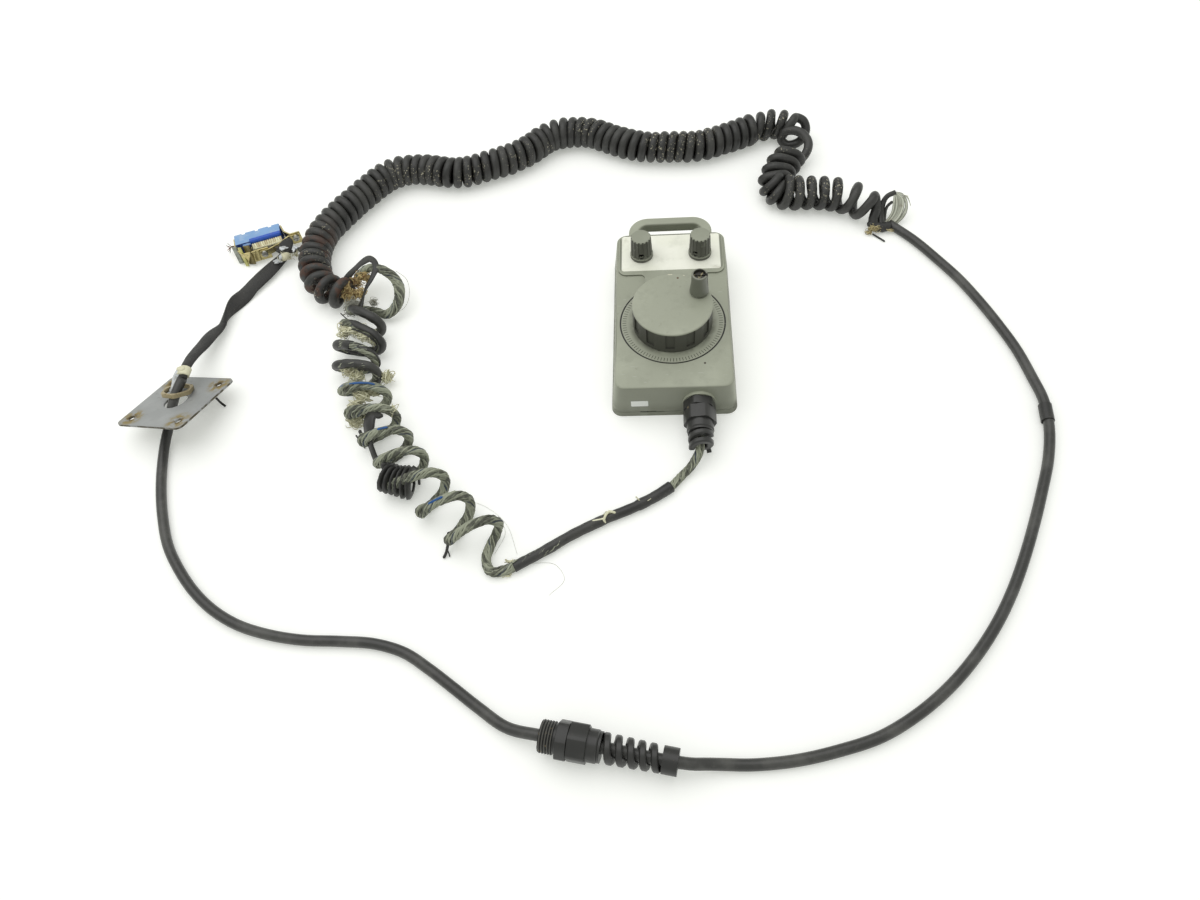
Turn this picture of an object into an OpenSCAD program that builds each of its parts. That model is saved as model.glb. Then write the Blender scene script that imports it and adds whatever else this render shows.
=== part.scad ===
// Hand-held pulse generator: a case with a cranked handwheel and two selector
// knobs, and the curly cord that ties it to its plug.
// Millimetres. The origin is the middle of the case's rest face, +Y runs along
// the case towards the hanging loop, +Z is up.

/* [Case] */
// Length of the case's top face
case_l = 158; // [150:0.5:175]
// Width of the case's top face
case_w = 87.6; // [84:0.2:100]
// Height of the case to the ledge round its raised panel
case_h = 31; // [30:0.2:36]
// How far each long side stands out at the foot
side_draft = 3.8; // [1:0.1:5]
// How far each end stands out at the foot
end_draft = 2.3; // [1:0.1:4]
// Radius of the case's upright corners
corner_r = 8; // [6:0.5:12]
// Rounding of the case's top edge
edge_r = 1.6; // [0.8:0.1:2.4]
// Thickness of the case's walls
wall = 2.6; // [2:0.1:3.2]
// Thickness of the case's top
top_wall = 2.8; // [2.4:0.1:3.4]
// Height of the rear cover
cover_h = 4.5; // [4.2:0.1:4.8]
// Thickness of the rear cover's floor
cover_t = 2.6; // [2.2:0.1:3]
// Thickness of the gasket between case and cover
gasket_t = 0.5; // [0.4:0.1:0.8]
// Height of the raised panel and dial over the ledge
panel_rise = 1.2; // [0.6:0.1:1.6]
// Width of the ledge round the raised panel
ledge_w = 1.6; // [1:0.1:2.2]
// Length of the raised panel at the head of the case
panel_l = 45.5; // [43:0.5:50]
// Width of the raised neck between panel and dial
neck_w = 42; // [34:1:50]
// Shank diameter of the case screws
case_screw_d = 3; // [2.5:0.5:3.5]

/* [Side grips] */
// Number of finger slots along each side
slot_count = 22; // [10:1:23]
// Spacing of the finger slots
slot_pitch = 5.4; // [5:0.1:5.6]
// Width of each finger slot
slot_w = 3; // [2:0.1:3.6]
// Height of each finger slot
slot_h = 12; // [8:0.5:14]
// Depth of each finger slot
slot_depth = 0.9; // [0.4:0.1:1.2]

/* [Hanging loop] */
// Outer width of the hanging loop
loop_w = 68.4; // [60:0.2:74]
// How far the loop reaches past the case's top face
loop_reach = 21; // [19:0.5:28]
// Width of the loop's bar, seen from above
loop_bar = 8.2; // [6:0.2:9]
// Thickness of the loop's bar
loop_t = 9; // [7:0.5:10]
// Height of the loop's upper side over the rest face
loop_top = 30; // [28:0.2:30]
// Outer corner radius of the loop
loop_r = 16; // [14:0.5:20]

/* [Label plate] */
// Width of the label plate
label_w = 80; // [70:0.5:81]
// Length of the label plate
label_l = 39.2; // [36:0.2:40]
// Thickness of the label plate
label_t = 0.7; // [0.5:0.1:1]
// Depth of the recess that holds the label plate
label_recess = 1.1; // [0.8:0.1:1.4]

/* [Dial] */
// Diameter of the dial's ring
dial_d = 80; // [76:0.5:82]
// Width of the dial's ring groove
dial_line_w = 0.7; // [0.4:0.1:1.2]
// Depth of the dial's ring groove
dial_line_depth = 0.3; // [0.2:0.1:0.5]
// Distance of the dial's centre in front of the case's middle
dial_back = 16.7; // [14:0.1:20]

/* [Handwheel] */
// Diameter of the handwheel
wheel_d = 60.6; // [56:0.2:64]
// Height of the handwheel
wheel_h = 19.8; // [17:0.2:24]
// Gap between the dial and the handwheel
wheel_gap = 0.8; // [0.5:0.1:1.5]
// Number of finger grooves round the handwheel
groove_count = 12; // [8:1:16]
// Width of each finger groove, in degrees of the rim
groove_deg = 13; // [8:0.5:18]
// Depth of each finger groove
groove_depth = 1.3; // [0.8:0.1:2]
// Height of the plain skirt under the grooves
skirt_h = 3.4; // [2:0.1:5]
// Thickness of the rim over the grooves
rim_t = 1.4; // [1:0.1:2.5]
// Thickness of the handwheel's top
wheel_top = 3; // [2.6:0.1:4]
// Thickness of the handwheel's outer wall
wheel_wall = 3.4; // [3:0.1:4]
// Diameter of the handwheel's hub
hub_d = 15; // [13:0.5:18]
// Diameter of the handwheel's shaft
shaft_d = 6; // [5:0.5:7]

/* [Crank grip] */
// Distance of the crank grip from the wheel's centre
crank_arm = 23; // [20:0.1:23.2]
// Bearing of the crank grip round the wheel, from +X
crank_bearing = 28; // [0:1:90]
// Diameter of the crank grip at its foot
grip_foot_d = 14.4; // [12:0.2:14.6]
// Diameter of the crank grip at its top
grip_top_d = 12; // [11:0.2:13]
// Height of the crank grip
grip_h = 18.6; // [16:0.2:24]
// Gap under the crank grip
grip_gap = 0.8; // [0.4:0.1:1.2]
// Diameter of the recess in the grip's top
grip_recess_d = 9; // [8.4:0.1:9.6]
// Depth of the recess in the grip's top
grip_recess = 4.6; // [4:0.1:6]
// Shank diameter of the crank screw
crank_screw_d = 5; // [4:0.5:5.5]
// Head diameter of the crank screw
crank_head_d = 8; // [7.6:0.1:8.2]

/* [Selector knobs] */
// Distance between the two knobs
knob_pitch = 47; // [44:0.5:50]
// Distance of the knobs in front of the case's head end
knob_y = 23.7; // [21:0.1:27]
// Diameter of each knob at its foot
knob_foot_d = 18.4; // [18:0.2:20]
// Diameter of each knob at its top
knob_top_d = 16; // [14:0.2:17]
// Height of each knob
knob_h = 20; // [18:0.2:24]
// Gap between the label plate and a knob
knob_gap = 0.5; // [0.4:0.1:1]
// Number of flutes round each knob
flute_count = 16; // [12:1:20]
// Radius of each flute
flute_r = 1; // [0.5:0.05:1.1]
// Diameter of the set-screw hole in each knob
knob_hole_d = 4.2; // [3.4:0.1:4.4]
// Height of the set-screw hole over the knob's foot
knob_hole_z = 6.2; // [5.4:0.1:8]
// Turn of the right knob from straight ahead, in degrees
range_turn = -30; // [-60:5:60]

/* [Rotary switches] */
// Diameter of each switch body
switch_d = 24; // [20:0.5:26]
// Depth of each switch body
switch_h = 14; // [10:0.5:16]
// Diameter of each switch's threaded neck
neck_d = 9; // [8.5:0.5:10]
// Width across the flats of each switch nut
switch_nut_af = 12.6; // [12:0.1:13]
// Diameter of each selector shaft
selector_d = 6; // [5:0.5:6]

/* [Encoder] */
// Diameter of the encoder's mounting flange
encoder_flange_d = 60; // [58:0.5:62]
// Thickness of the encoder's mounting flange
encoder_flange_t = 2.4; // [2:0.1:3]
// Diameter of the encoder's can
can_d = 46; // [42:0.5:48]
// Thickness of the can's sheet
can_t = 1; // [0.6:0.1:1.4]
// Outer diameter of the shaft's bearings
bearing_d = 13; // [12:0.5:14]
// Width of each shaft bearing
bearing_w = 5; // [4:0.5:5]
// Diameter of the slotted disc
disc_d = 36; // [30:0.5:38]

/* [Cord and glands] */
// Diameter of the smooth cord
cord_d = 7.5; // [6.5:0.1:8]
// Diameter of the bare bundle of conductors
bundle_d = 6.4; // [5:0.1:7]
// Outer diameter of the curly cord
coil_d = 28; // [26:0.5:28]
// Outer diameter of the frayed loop of bare conductors
frayed_d = 24; // [20:0.5:24]
// Width of the twisted sleeve behind the plug
sleeve_d = 11; // [9:0.5:11]
// Diameter of the gland thread
thread_d = 18.6; // [18:0.1:19]
// Length of the in-line gland's thread
thread_l = 10.4; // [8:0.2:12]
// Width across the flats of the gland's body and nut
gland_af = 22; // [21:0.2:23]
// Length of the gland body's hexagon
gland_hex_l = 7; // [5:0.2:8]
// Length of the gland nut's hexagon
nut_hex_l = 11.4; // [10:0.2:13]
// Length of the round collar in front of the nut's hexagon
nut_collar_l = 7; // [5:0.2:8]
// Diameter of the nut's round collar
nut_collar_d = 20; // [18.5:0.2:20.6]
// Number of turns of the spiral bend guard
guard_turns = 5; // [3:0.5:5]
// Pitch of the spiral bend guard
guard_pitch = 7.1; // [6.8:0.1:7.4]
// Number of turns left on the case's bend guard
stub_turns = 1.5; // [1:0.25:1.5]
// Thickness of the guard's spiral bar
guard_bar = 4.4; // [3:0.1:5]
// Diameter of the guard's end ring
guard_ring_d = 16.6; // [15:0.2:17]
// Length of the guard's end ring
guard_ring_l = 9.4; // [7:0.2:10]
// Distance of the case's gland beside the middle
gland_x = 18.3; // [14:0.1:22]
// Height of the case's gland over the rest face
gland_z = 15; // [14.8:0.1:16]
// Thickness of the gland's locknuts
locknut_t = 3.6; // [3:0.1:4]

/* [Mounting plate] */
// Side of the square mounting plate
plate_w = 66; // [62:0.5:70]
// Thickness of the mounting plate
plate_t = 1.6; // [1.2:0.1:2]
// Spacing of the plate's corner holes
plate_pitch = 48; // [46:0.5:52]
// Diameter of the plate's corner holes
plate_hole_d = 5; // [4:0.1:6]
// Diameter of the plate's central hole
plate_bore_d = 19; // [18.8:0.1:20]
// Corner radius of the plate
plate_r = 5; // [3:0.5:7]

/* [Plug] */
// Length of the plug's blue insulator
plug_l = 41; // [38:0.5:44]
// Depth of the plug's blue insulator
plug_d = 13; // [11:0.5:14]
// Height of the plug's blue insulator
plug_h = 14; // [12:0.5:15]
// Thickness of the plug's metal brackets
bracket_t = 1.2; // [0.8:0.1:1.6]

/* [Hidden] */

$fn = 64;
eps = 0.01;
fit = 0.05;
slip = 0.03;
loose = 0.2;

case_paint = "#a3a797";
black = "#2c2d2c";
steel = "#b9bbb8";
brass = "#a08b52";

// Levels and places worked out from the sizes above
case_z0 = cover_h + gasket_t;
panel_z = case_h + panel_rise;
inner_z = case_h - top_wall;
label_z = panel_z - label_recess;
label_edge = 2;
label_y = case_l / 2 - label_edge - label_l / 2;
dial_y = -dial_back;
wheel_z = panel_z + wheel_gap;
wheel_top_z = wheel_z + wheel_h;
boss_r = dial_d / 2 + 2.6;
screw_x = case_w / 2 - 8.4;
screw_y = case_l / 2 - 9;
knob_x = knob_pitch / 2;
knob_z = label_z + label_t + knob_gap;
crank_x = crank_arm * cos(crank_bearing);
crank_y = crank_arm * sin(crank_bearing);
end_slope = atan(end_draft / case_h);
shaft_top = knob_z + 13;
switch_nut_h = 2;
washer_t = 0.6;
neck_top = label_z + label_t + washer_t + switch_nut_h + 0.8;

// Fasteners of the case
screw_head_d = 5.6;
screw_head_h = 1.8;
screw_sink = 2.1;
case_thread = 8;
case_boss_d = case_screw_d + 5;

// Small screws of the board and the encoder, and the socket set screws
small_screw_d = 2.5;
small_head_d = 4.6;
small_head_h = 1.6;
set_screw_d = 3;

// Notch for prising the cover off, in its front edge
notch_x = -19.8;
notch_w = 11.7;
notch_h = 0.9;

// Blank sticker beside the cord entry
sticker_x = -26;
sticker_z = 14.6;
sticker_w = 12.8;
sticker_h = 5.8;
sticker_t = 0.25;

// Encoder, from its can upwards, and how far its screws bite into the case
encoder_bite = 1.8;
spigot_d = 12;
can_z = cover_t + 1.8;
disc_z = can_z + can_t + 3.2;
disc_t = 0.8;
disc_hub_h = 2.6;
upper_bearing_z = inner_z - 1.1 - bearing_w;
lower_bearing_z = upper_bearing_z - bearing_w - 4;

// The sensor stands against the can's wall and straddles the disc's edge
sensor_w = 8;
sensor_h = 6.4;
sensor_reach = 5.4;
sensor_slot = 2.2;
sensor_y = sqrt(pow(can_d / 2 - can_t, 2) - pow(sensor_w / 2, 2)) - 0.3;

// Inside of the handwheel, and where its first finger groove lies
groove_bearing = -94.5;
wheel_rib_t = 1.6;
wheel_rib_h = 5;
crank_thread = 7;
wheel_screw_z = 6;
wheel_screw_l = 4.6;
wheel_screw_bearings = [55.5, 145.5];

// Circuit board between a case screw's boss and the gland
board_w = 36;
board_l = 26;
board_z = 17;
board_t = 1.6;
board_x0 = case_boss_d / 2 + 1.4 - screw_x;
board_y0 = 5 - case_l / 2;
board_screw_inset = 4;
board_screw_l = 6;
header_at = [board_x0 + 8, board_y0 + 2];
header_l = 24;
header_w = 7;
header_h = 8;
header_ways = 6;
way_w = 2.4;

// Glands
pad_y = case_l / 2 + end_draft + 0.4;
pad_d = gland_af * 1.1 + 0.4;
// How each gland's body and nut are turned from a flat side up
pad_body_turn = -12;
pad_nut_turn = 8;
inline_body_turn = -4;
inline_nut_turn = 33;
gland_neck_d = thread_d - 1.4;
gland_neck_l = 6;
gland_bore_d = cord_d + 1.2;
seal_l = 5;

// The in-line gland lies on the floor, its thread to the left
inline_end = [-86, -323];
inline_z = gland_af * 0.55 + 0.1;
inline_turn = -10.4;

// The mounting plate leans on the cord
plate_at = [-389, -69.5, 16.6];
plate_tilt = [-17.5, -12.5, -13.5];

// The plate's locknut lies loose on it and leans towards the cord
locknut_at = [-1.6, 6.8];
locknut_lean = 13;
locknut_axis = [-1, 0.3, 0];
locknut_lift = plate_t + 0.1 + gland_af * 0.55 * sin(locknut_lean);

// The plug, its brackets and clamp, seen from above
plug_at = [-370, 117, 0.2];
plug_turn = 20;
left_ear_y = -18.4;
right_ear_y = -9.7;
strip_back = bracket_t + 0.1;
bracket_x = plug_l / 2 + bracket_t / 2 + 0.1;
left_bracket = [[-bracket_x, 4], [-bracket_x, -9], [-16, left_ear_y], [7, left_ear_y]];
right_bracket = [[bracket_x, 5], [bracket_x + 2, -4], [28, right_ear_y], [36.6, right_ear_y]];
clamp_strip = [[-1, left_ear_y - strip_back], [7.5, left_ear_y - strip_back], [17, -16.4],
               [26, right_ear_y - strip_back], [36, right_ear_y - strip_back]];
clamp_screws = [[2.6, left_ear_y - strip_back], [32.2, right_ear_y - strip_back]];
clamp_screw_z = 8.5;
plug_rib = 2;
socket_deep = 5;
solder_cup = 3.5;
contact_count = 7;
contact_pitch = 3.8;
clamp_screw_d = 3;
clamp_head_d = 5.6;
clamp_head_h = 2;

// Cord routes, from the case's gland to the plug
bundle_route = [[gland_x, -70, gland_z], [gland_x, -114, gland_z], [17, -121, 11.5],
                [11, -130, 5.5], [4, -137, 3.8], [-4, -146, 3.8]];
sheath_route = [[-4, -146, 3.8], [-14, -153, 3.8], [-28, -161, 3.8], [-50, -171, 3.8],
                [-73, -183, 3.8], [-95, -197, 3.8], [-116, -209, 3.8]];
loose_coil_route = [[-116, -209, 14], [-142, -191, 14], [-166, -172, 14], [-190, -148, 14],
                    [-208, -122, 14], [-222, -97, 14], [-236, -68, 14], [-248, -30, 14],
                    [-256, 4, 14], [-260, 32, 14]];
frayed_loop_route = [[-260, 32, 12], [-263.6, 56, 12], [-260, 74, 12]];
curly_route = [[-281, 43, 14], [-291, 47, 14], [-303, 62, 14], [-310, 88, 14],
               [-307, 117, 14], [-293, 143, 14], [-276, 168, 14], [-256, 190, 14],
               [-228, 194, 14], [-196, 187, 14], [-163, 196, 14], [-133, 211, 14],
               [-110, 232, 14], [-78, 236, 14], [-54, 225, 14], [-30, 213, 14],
               [0, 209, 14], [30, 209, 14], [60, 220, 14], [88, 231, 14],
               [106, 231, 14], [116, 217, 14], [112, 198, 14], [103, 179, 14],
               [97, 163, 14], [104, 149, 14], [122, 144, 14], [145, 135, 14],
               [168, 123, 14], [187, 109, 14]];
// The points of the curly route at which one stretch ends and the next begins
curly_joints = [0, 5, 10, 14, 19, 24, 29];
smooth_route = [[187, 109, 3.8], [204, 89, 3.8], [219, 66, 3.8], [232, 44, 3.8],
                [243, 20, 3.8], [253, -6, 3.8], [261, -31, 3.8], [266, -56, 3.8],
                [269, -80, 4.8], [267, -104, 4.8], [261, -128, 3.8], [251, -153, 3.8],
                [240, -178, 3.8], [228, -203, 3.8], [215, -227, 3.8], [200, -250, 3.8],
                [183, -271, 3.8], [164, -290, 3.8], [142, -307, 3.8], [117, -321, 3.8],
                [92, -329, 3.8], [66, -334, 3.8], [40, -338, 3.8], [18, -341, 6],
                [-4, -338, 12.2], [-45, -330.5, 12.2], [-86, -323, 12.2], [-109, -316.5, 6],
                [-128, -304, 3.8], [-146, -291, 3.8], [-163, -279, 3.8], [-181, -268, 3.8],
                [-201, -262, 3.8], [-226, -260, 3.8], [-252, -259, 3.8], [-277, -255, 3.8],
                [-300, -248, 3.8], [-319, -238, 3.8], [-337, -224, 3.8], [-353, -207, 3.8],
                [-367, -188, 3.8], [-378, -165, 3.8], [-387, -140, 3.8], [-393, -116, 4],
                [-395, -98, 6], [-393, -83, 11.5], [-391, -71, 18], [-388.5, -61, 22],
                [-386, -52, 24]];
// The point of the smooth route at the thread end of the in-line gland
inline_joint = 26;
splice_point = 8;
splice_l = 14;
sleeve_route = [[-386, -52, 24], [-386, -43, 24.5], [-388, -28, 20], [-388, -8, 12.5],
                [-385, 16, 7.5], [-379, 42, 5.8], [-371, 65, 6], [-359, 83, 6.6],
                [-350, 94.5, 7], [-344.1, 103, 7.4]];

// Directions that two cords share where their end faces meet
bundle_end = [-9, -8, 0];
sheath_end = [-1, 0, 0];
loose_coil_end = [-0.1, 1, 0];
curly_end = [1, -0.9, 0];
smooth_end = [2.5, 9, 2];

function half_w(z) = case_w / 2 + side_draft * (1 - z / case_h);
function half_l(z) = case_l / 2 + end_draft * (1 - z / case_h);

// ---- Shared shapes ----

module at_corners(z, inset, r) {
    x = half_w(z) - inset - r;
    y = half_l(z) - inset - r;
    for (sx = [-1, 1], sy = [-1, 1])
        translate([sx * x, sy * y, z])
            cylinder(r = r, h = eps, $fn = 32);
}

// Solid between two heights that follows the drafted sides, a given wall inside them
module drafted(z0, z1, inset = 0, round_r = 0) {
    r = max(corner_r - inset, 1);
    hull() {
        at_corners(z0, inset, r);
        for (a = round_r > 0 ? [0, 30, 60, 90] : [90])
            at_corners(z1 - eps - round_r * (1 - sin(a)), inset + round_r * (1 - cos(a)), r);
    }
}

module rounded_square(w, l, r) {
    square([w - 2 * r, l], center = true);
    square([w, l - 2 * r], center = true);
    for (sx = [-1, 1], sy = [-1, 1])
        translate([sx * (w / 2 - r), sy * (l / 2 - r)])
            circle(r = r, $fn = 32);
}

module ring(d_out, d_in, h) {
    difference() {
        cylinder(d = d_out, h = h);
        translate([0, 0, -eps])
            cylinder(d = d_in, h = h + 2 * eps);
    }
}

// Hexagon with its corners turned down to a round
module hexagon(af, h) {
    intersection() {
        cylinder(d = af / cos(30), h = h, $fn = 6);
        cylinder(d = af * 1.1, h = h);
    }
}

function unit(v) = v / norm(v);

// Direction of a route at one of its points, halfway between the stretches it joins
function along(p, i) =
    i == 0 ? unit(p[1] - p[0]) :
    i == len(p) - 1 ? unit(p[i] - p[i - 1]) :
    unit(unit(p[i + 1] - p[i]) + unit(p[i] - p[i - 1]));
function across(t) = unit(cross(t, [0, 0, 1]));
function ring_points(c, t, r, n) =
    [for (k = [0:n - 1])
        let (u = across(t), v = cross(u, t), a = 360 * k / n)
            c + r * (cos(a) * u + sin(a) * v)];

// Round tube swept along a list of points, its end faces square to the given directions
module tube(path, d, n = 8, start = undef, finish = undef) {
    m = len(path);
    function facing(i) =
        i == 0 && !is_undef(start) ? unit(start) :
        i == m - 1 && !is_undef(finish) ? unit(finish) : along(path, i);
    points = [for (i = [0:m - 1]) each ring_points(path[i], facing(i), d / 2, n)];
    sides = [for (i = [0:m - 2], k = [0:n - 1])
        let (j = (k + 1) % n)
            each [[i * n + k, i * n + j, (i + 1) * n + k],
                  [i * n + j, (i + 1) * n + j, (i + 1) * n + k]]];
    first = [[for (k = [n - 1:-1:0]) k]];
    last = [[for (k = [0:n - 1]) (m - 1) * n + k]];
    polyhedron(points = points, faces = concat(sides, first, last), convexity = 8);
}

// One stretch of a longer route, with end faces that meet the next stretches' faces
module stretch(route, from, to, d, n = 8, start = undef, finish = undef) {
    tube([for (i = [from:to]) route[i]], d, n,
         is_undef(start) ? along(route, from) : start,
         is_undef(finish) ? along(route, to) : finish);
}

module curly_stretch(i) {
    stretch(curly_route, curly_joints[i], curly_joints[i + 1], coil_d, 12);
}

// Frame on the moulded pad at the case's front end, +Z pointing out of it
module on_gland_pad() {
    translate([gland_x, -pad_y, gland_z])
        rotate([90, 0, 0])
            children();
}

// Frame at the in-line gland's hexagon, +Z pointing at its bend guard
module on_inline() {
    translate([inline_end[0], inline_end[1], inline_z])
        rotate([0, 0, inline_turn])
            rotate([0, 90, 0])
                translate([0, 0, thread_l])
                    rotate([0, 0, 30])
                        children();
}

module on_plate() {
    translate(plate_at)
        rotate(plate_tilt)
            children();
}

module on_plug() {
    translate(plug_at)
        rotate([0, 0, plug_turn])
            children();
}

module at_knob(side) {
    translate([side * knob_x, case_l / 2 - knob_y, 0])
        children();
}

module at_case_screws() {
    for (sx = [-1, 1], sy = [-1, 1])
        translate([sx * screw_x, sy * screw_y, 0])
            children();
}

module at_encoder_screws() {
    translate([0, dial_y, 0])
        for (a = [30, 150, 270])
            rotate([0, 0, a])
                translate([(encoder_flange_d + can_d) / 4 + 0.4, 0, 0])
                    children();
}

module at_board_screws() {
    for (x = [board_x0 + board_screw_inset, board_x0 + board_w - board_screw_inset])
        translate([x, board_y0 + board_l / 2, 0])
            children();
}

// ---- Case ----

// The raised panel, its neck and the dial, seen from above
module raised_plan() {
    offset(r = -4)
        offset(delta = 4) {
            translate([0, case_l / 2 - (panel_l + ledge_w) / 2])
                rounded_square(case_w - 2 * ledge_w, panel_l - ledge_w, corner_r - ledge_w);
            translate([-neck_w / 2, dial_y])
                square([neck_w, case_l / 2 - panel_l - dial_y + panel_l / 2]);
            translate([0, dial_y])
                circle(r = boss_r, $fn = 96);
        }
}

// What is taken off round the raised panel: a level ledge beside it, then a hollow on each
// side of the neck that runs out at the dial's middle
module ledge() {
    difference() {
        translate([-case_w, 0, 0])
            rotate([90, 0, 90])
                linear_extrude(2 * case_w)
                    polygon([[dial_y, panel_z], [case_l / 2 - panel_l, case_h],
                             [case_l, case_h], [case_l, panel_z + 1], [dial_y, panel_z + 1]]);
        linear_extrude(panel_z + 2)
            raised_plan();
    }
}

module case_shell() {
    difference() {
        drafted(case_z0, panel_z, 0, edge_r);
        ledge();
        drafted(case_z0 - 1, inner_z, wall);
    }
}

// Moulded round pad that gives the gland an upright face
module gland_pad() {
    intersection() {
        on_gland_pad()
            translate([0, 0, -wall - end_draft])
                cylinder(d = pad_d, h = wall + end_draft);
        translate([-case_w, -case_l, case_z0])
            cube([2 * case_w, case_l, case_h - case_z0 - edge_r]);
    }
}

module finger_slots() {
    for (side = [-1, 1], i = [0:slot_count - 1]) {
        y = (i - (slot_count - 1) / 2) * slot_pitch - 3;
        z = (case_z0 + case_h) / 2;
        translate([side * half_w(z), y, z])
            rotate([0, -side * atan(side_draft / case_h), 0])
                cube([2 * slot_depth, slot_w, slot_h], center = true);
    }
}

module loop_sockets() {
    for (side = [-1, 1])
        translate([side * (loop_w - loop_bar) / 2, case_l / 2, loop_top - loop_t / 2])
            cube([loop_bar + loose, 4 * wall, loop_t + loose], center = true);
}

module front_case() {
    color(case_paint)
        difference() {
            union() {
                case_shell();
                gland_pad();
                at_case_screws()
                    translate([0, 0, case_z0])
                        cylinder(d = case_boss_d, h = inner_z - case_z0 + eps);
                at_board_screws()
                    translate([0, 0, board_z + board_t])
                        cylinder(d = 6, h = inner_z - board_z - board_t + eps);
            }
            at_case_screws()
                translate([0, 0, case_z0 - eps])
                    cylinder(d = case_screw_d + 2 * fit, h = case_thread + 1);
            at_board_screws()
                translate([0, 0, board_z])
                    cylinder(d = small_screw_d + 2 * fit, h = board_screw_l + 1);
            at_encoder_screws()
                translate([0, 0, inner_z - eps])
                    cylinder(d = small_screw_d + 2 * fit, h = encoder_bite + 0.2);
            translate([0, dial_y, inner_z - eps])
                cylinder(d = spigot_d + 2 * fit, h = top_wall + panel_rise + 1);
            for (side = [-1, 1])
                at_knob(side)
                    translate([0, 0, inner_z - eps])
                        cylinder(d = neck_d + 2 * fit, h = top_wall + panel_rise + 1);
            translate([0, label_y, label_z])
                linear_extrude(label_recess + 1)
                    rounded_square(label_w + 2.4, label_l + 0.4, 3.4);
            translate([0, dial_y, panel_z - dial_line_depth])
                ring(dial_d + dial_line_w, dial_d - dial_line_w, 1);
            on_gland_pad()
                translate([0, 0, -4 * wall])
                    cylinder(d = thread_d + 2 * fit, h = 5 * wall);
            loop_sockets();
            finger_slots();
        }
}

module rear_cover() {
    color(case_paint)
        difference() {
            drafted(0, cover_h);
            drafted(cover_t, cover_h + 1, wall);
            at_case_screws() {
                translate([0, 0, -eps])
                    cylinder(d = case_screw_d + 2 * loose, h = cover_h);
                translate([0, 0, -1])
                    cylinder(d = screw_head_d + 2 * loose, h = screw_sink + 1);
            }
            translate([notch_x, -half_l(0) - 1, cover_h - notch_h])
                cube([notch_w, 2.4, 2 * notch_h]);
        }
    color(case_paint)
        at_case_screws()
            translate([0, 0, cover_t - eps])
                ring(case_boss_d, case_screw_d + 2 * loose, cover_h - cover_t);
}

module case_gasket() {
    color(black)
        difference() {
            drafted(cover_h, case_z0, 0.7);
            drafted(cover_h - 1, case_z0 + 1, wall - 0.2);
        }
}

module case_screws() {
    color(steel)
        at_case_screws() {
            difference() {
                translate([0, 0, screw_sink - screw_head_h])
                    cylinder(d = screw_head_d, h = screw_head_h);
                translate([0, 0, screw_sink - screw_head_h - eps])
                    cross_slot(3.2, 1.1);
            }
            translate([0, 0, screw_sink - eps])
                cylinder(d = case_screw_d, h = case_z0 + case_thread - screw_sink);
        }
}

module cross_slot(l, h) {
    for (a = [0, 90])
        rotate([0, 0, a])
            translate([-l / 2, -0.35, 0])
                cube([l, 0.7, h]);
}

// Bar section with its four edges rounded
module bar_section() {
    rounded_square(loop_bar, loop_t, 1.6);
}

module hanging_loop() {
    x = (loop_w - loop_bar) / 2;
    bend = loop_r - loop_bar / 2;
    y1 = case_l / 2 + loop_reach - loop_bar / 2;
    y0 = case_l / 2 - wall - 1.8;
    color(case_paint)
        translate([0, 0, loop_top - loop_t / 2]) {
            for (side = [-1, 1])
                translate([side * x, y1 - bend, 0])
                    rotate([90, 0, 0])
                        linear_extrude(y1 - bend - y0)
                            bar_section();
            translate([bend - x, y1, 0])
                rotate([90, 0, 90])
                    linear_extrude(2 * (x - bend))
                        bar_section();
            for (side = [-1, 1])
                translate([side * (x - bend), y1 - bend, 0])
                    rotate([0, 0, side > 0 ? 0 : 90])
                        rotate_extrude(angle = 90)
                            translate([bend, 0])
                                bar_section();
            translate([-x, y0 - 1.6, -loop_t / 2 + 0.4])
                cube([2 * x, 1.6 + eps, inner_z - loop_top + loop_t - 0.8]);
        }
}

module label_plate() {
    color("#e9ebdb")
        translate([0, label_y, label_z])
            difference() {
                linear_extrude(label_t)
                    rounded_square(label_w, label_l, 3);
                for (side = [-1, 1])
                    translate([side * knob_x, case_l / 2 - knob_y - label_y, -eps])
                        cylinder(d = neck_d + 0.8, h = label_t + 1);
            }
}

module asset_sticker() {
    color("#eef0e8")
        translate([sticker_x, -half_l(sticker_z), sticker_z])
            rotate([90 - end_slope, 0, 0])
                translate([0, 0, 0.04])
                    linear_extrude(sticker_t)
                        rounded_square(sticker_w, sticker_h, 0.6);
}

// ---- Board ----

module circuit_board() {
    color("#2f6b45")
        difference() {
            translate([board_x0, board_y0, board_z])
                cube([board_w, board_l, board_t]);
            at_board_screws()
                translate([0, 0, board_z - 1])
                    cylinder(d = small_screw_d + 2 * loose, h = board_t + 2);
        }
}

module board_header() {
    color("#d9d7c8")
        difference() {
            translate([header_at[0], header_at[1], board_z - header_h])
                cube([header_l, header_w, header_h]);
            for (i = [0:header_ways - 1])
                translate([header_at[0] + (i + 0.5) * header_l / header_ways - way_w / 2,
                           header_at[1] + 1.5, board_z - header_h - 1])
                    cube([way_w, header_w - 3, header_h - 1]);
        }
}

module board_screws() {
    color(steel)
        at_board_screws() {
            translate([0, 0, board_z - small_head_h])
                cylinder(d = small_head_d, h = small_head_h);
            translate([0, 0, board_z - eps])
                cylinder(d = small_screw_d, h = board_screw_l);
        }
}

// ---- Encoder ----

module at_dial() {
    translate([0, dial_y, 0])
        children();
}

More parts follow.
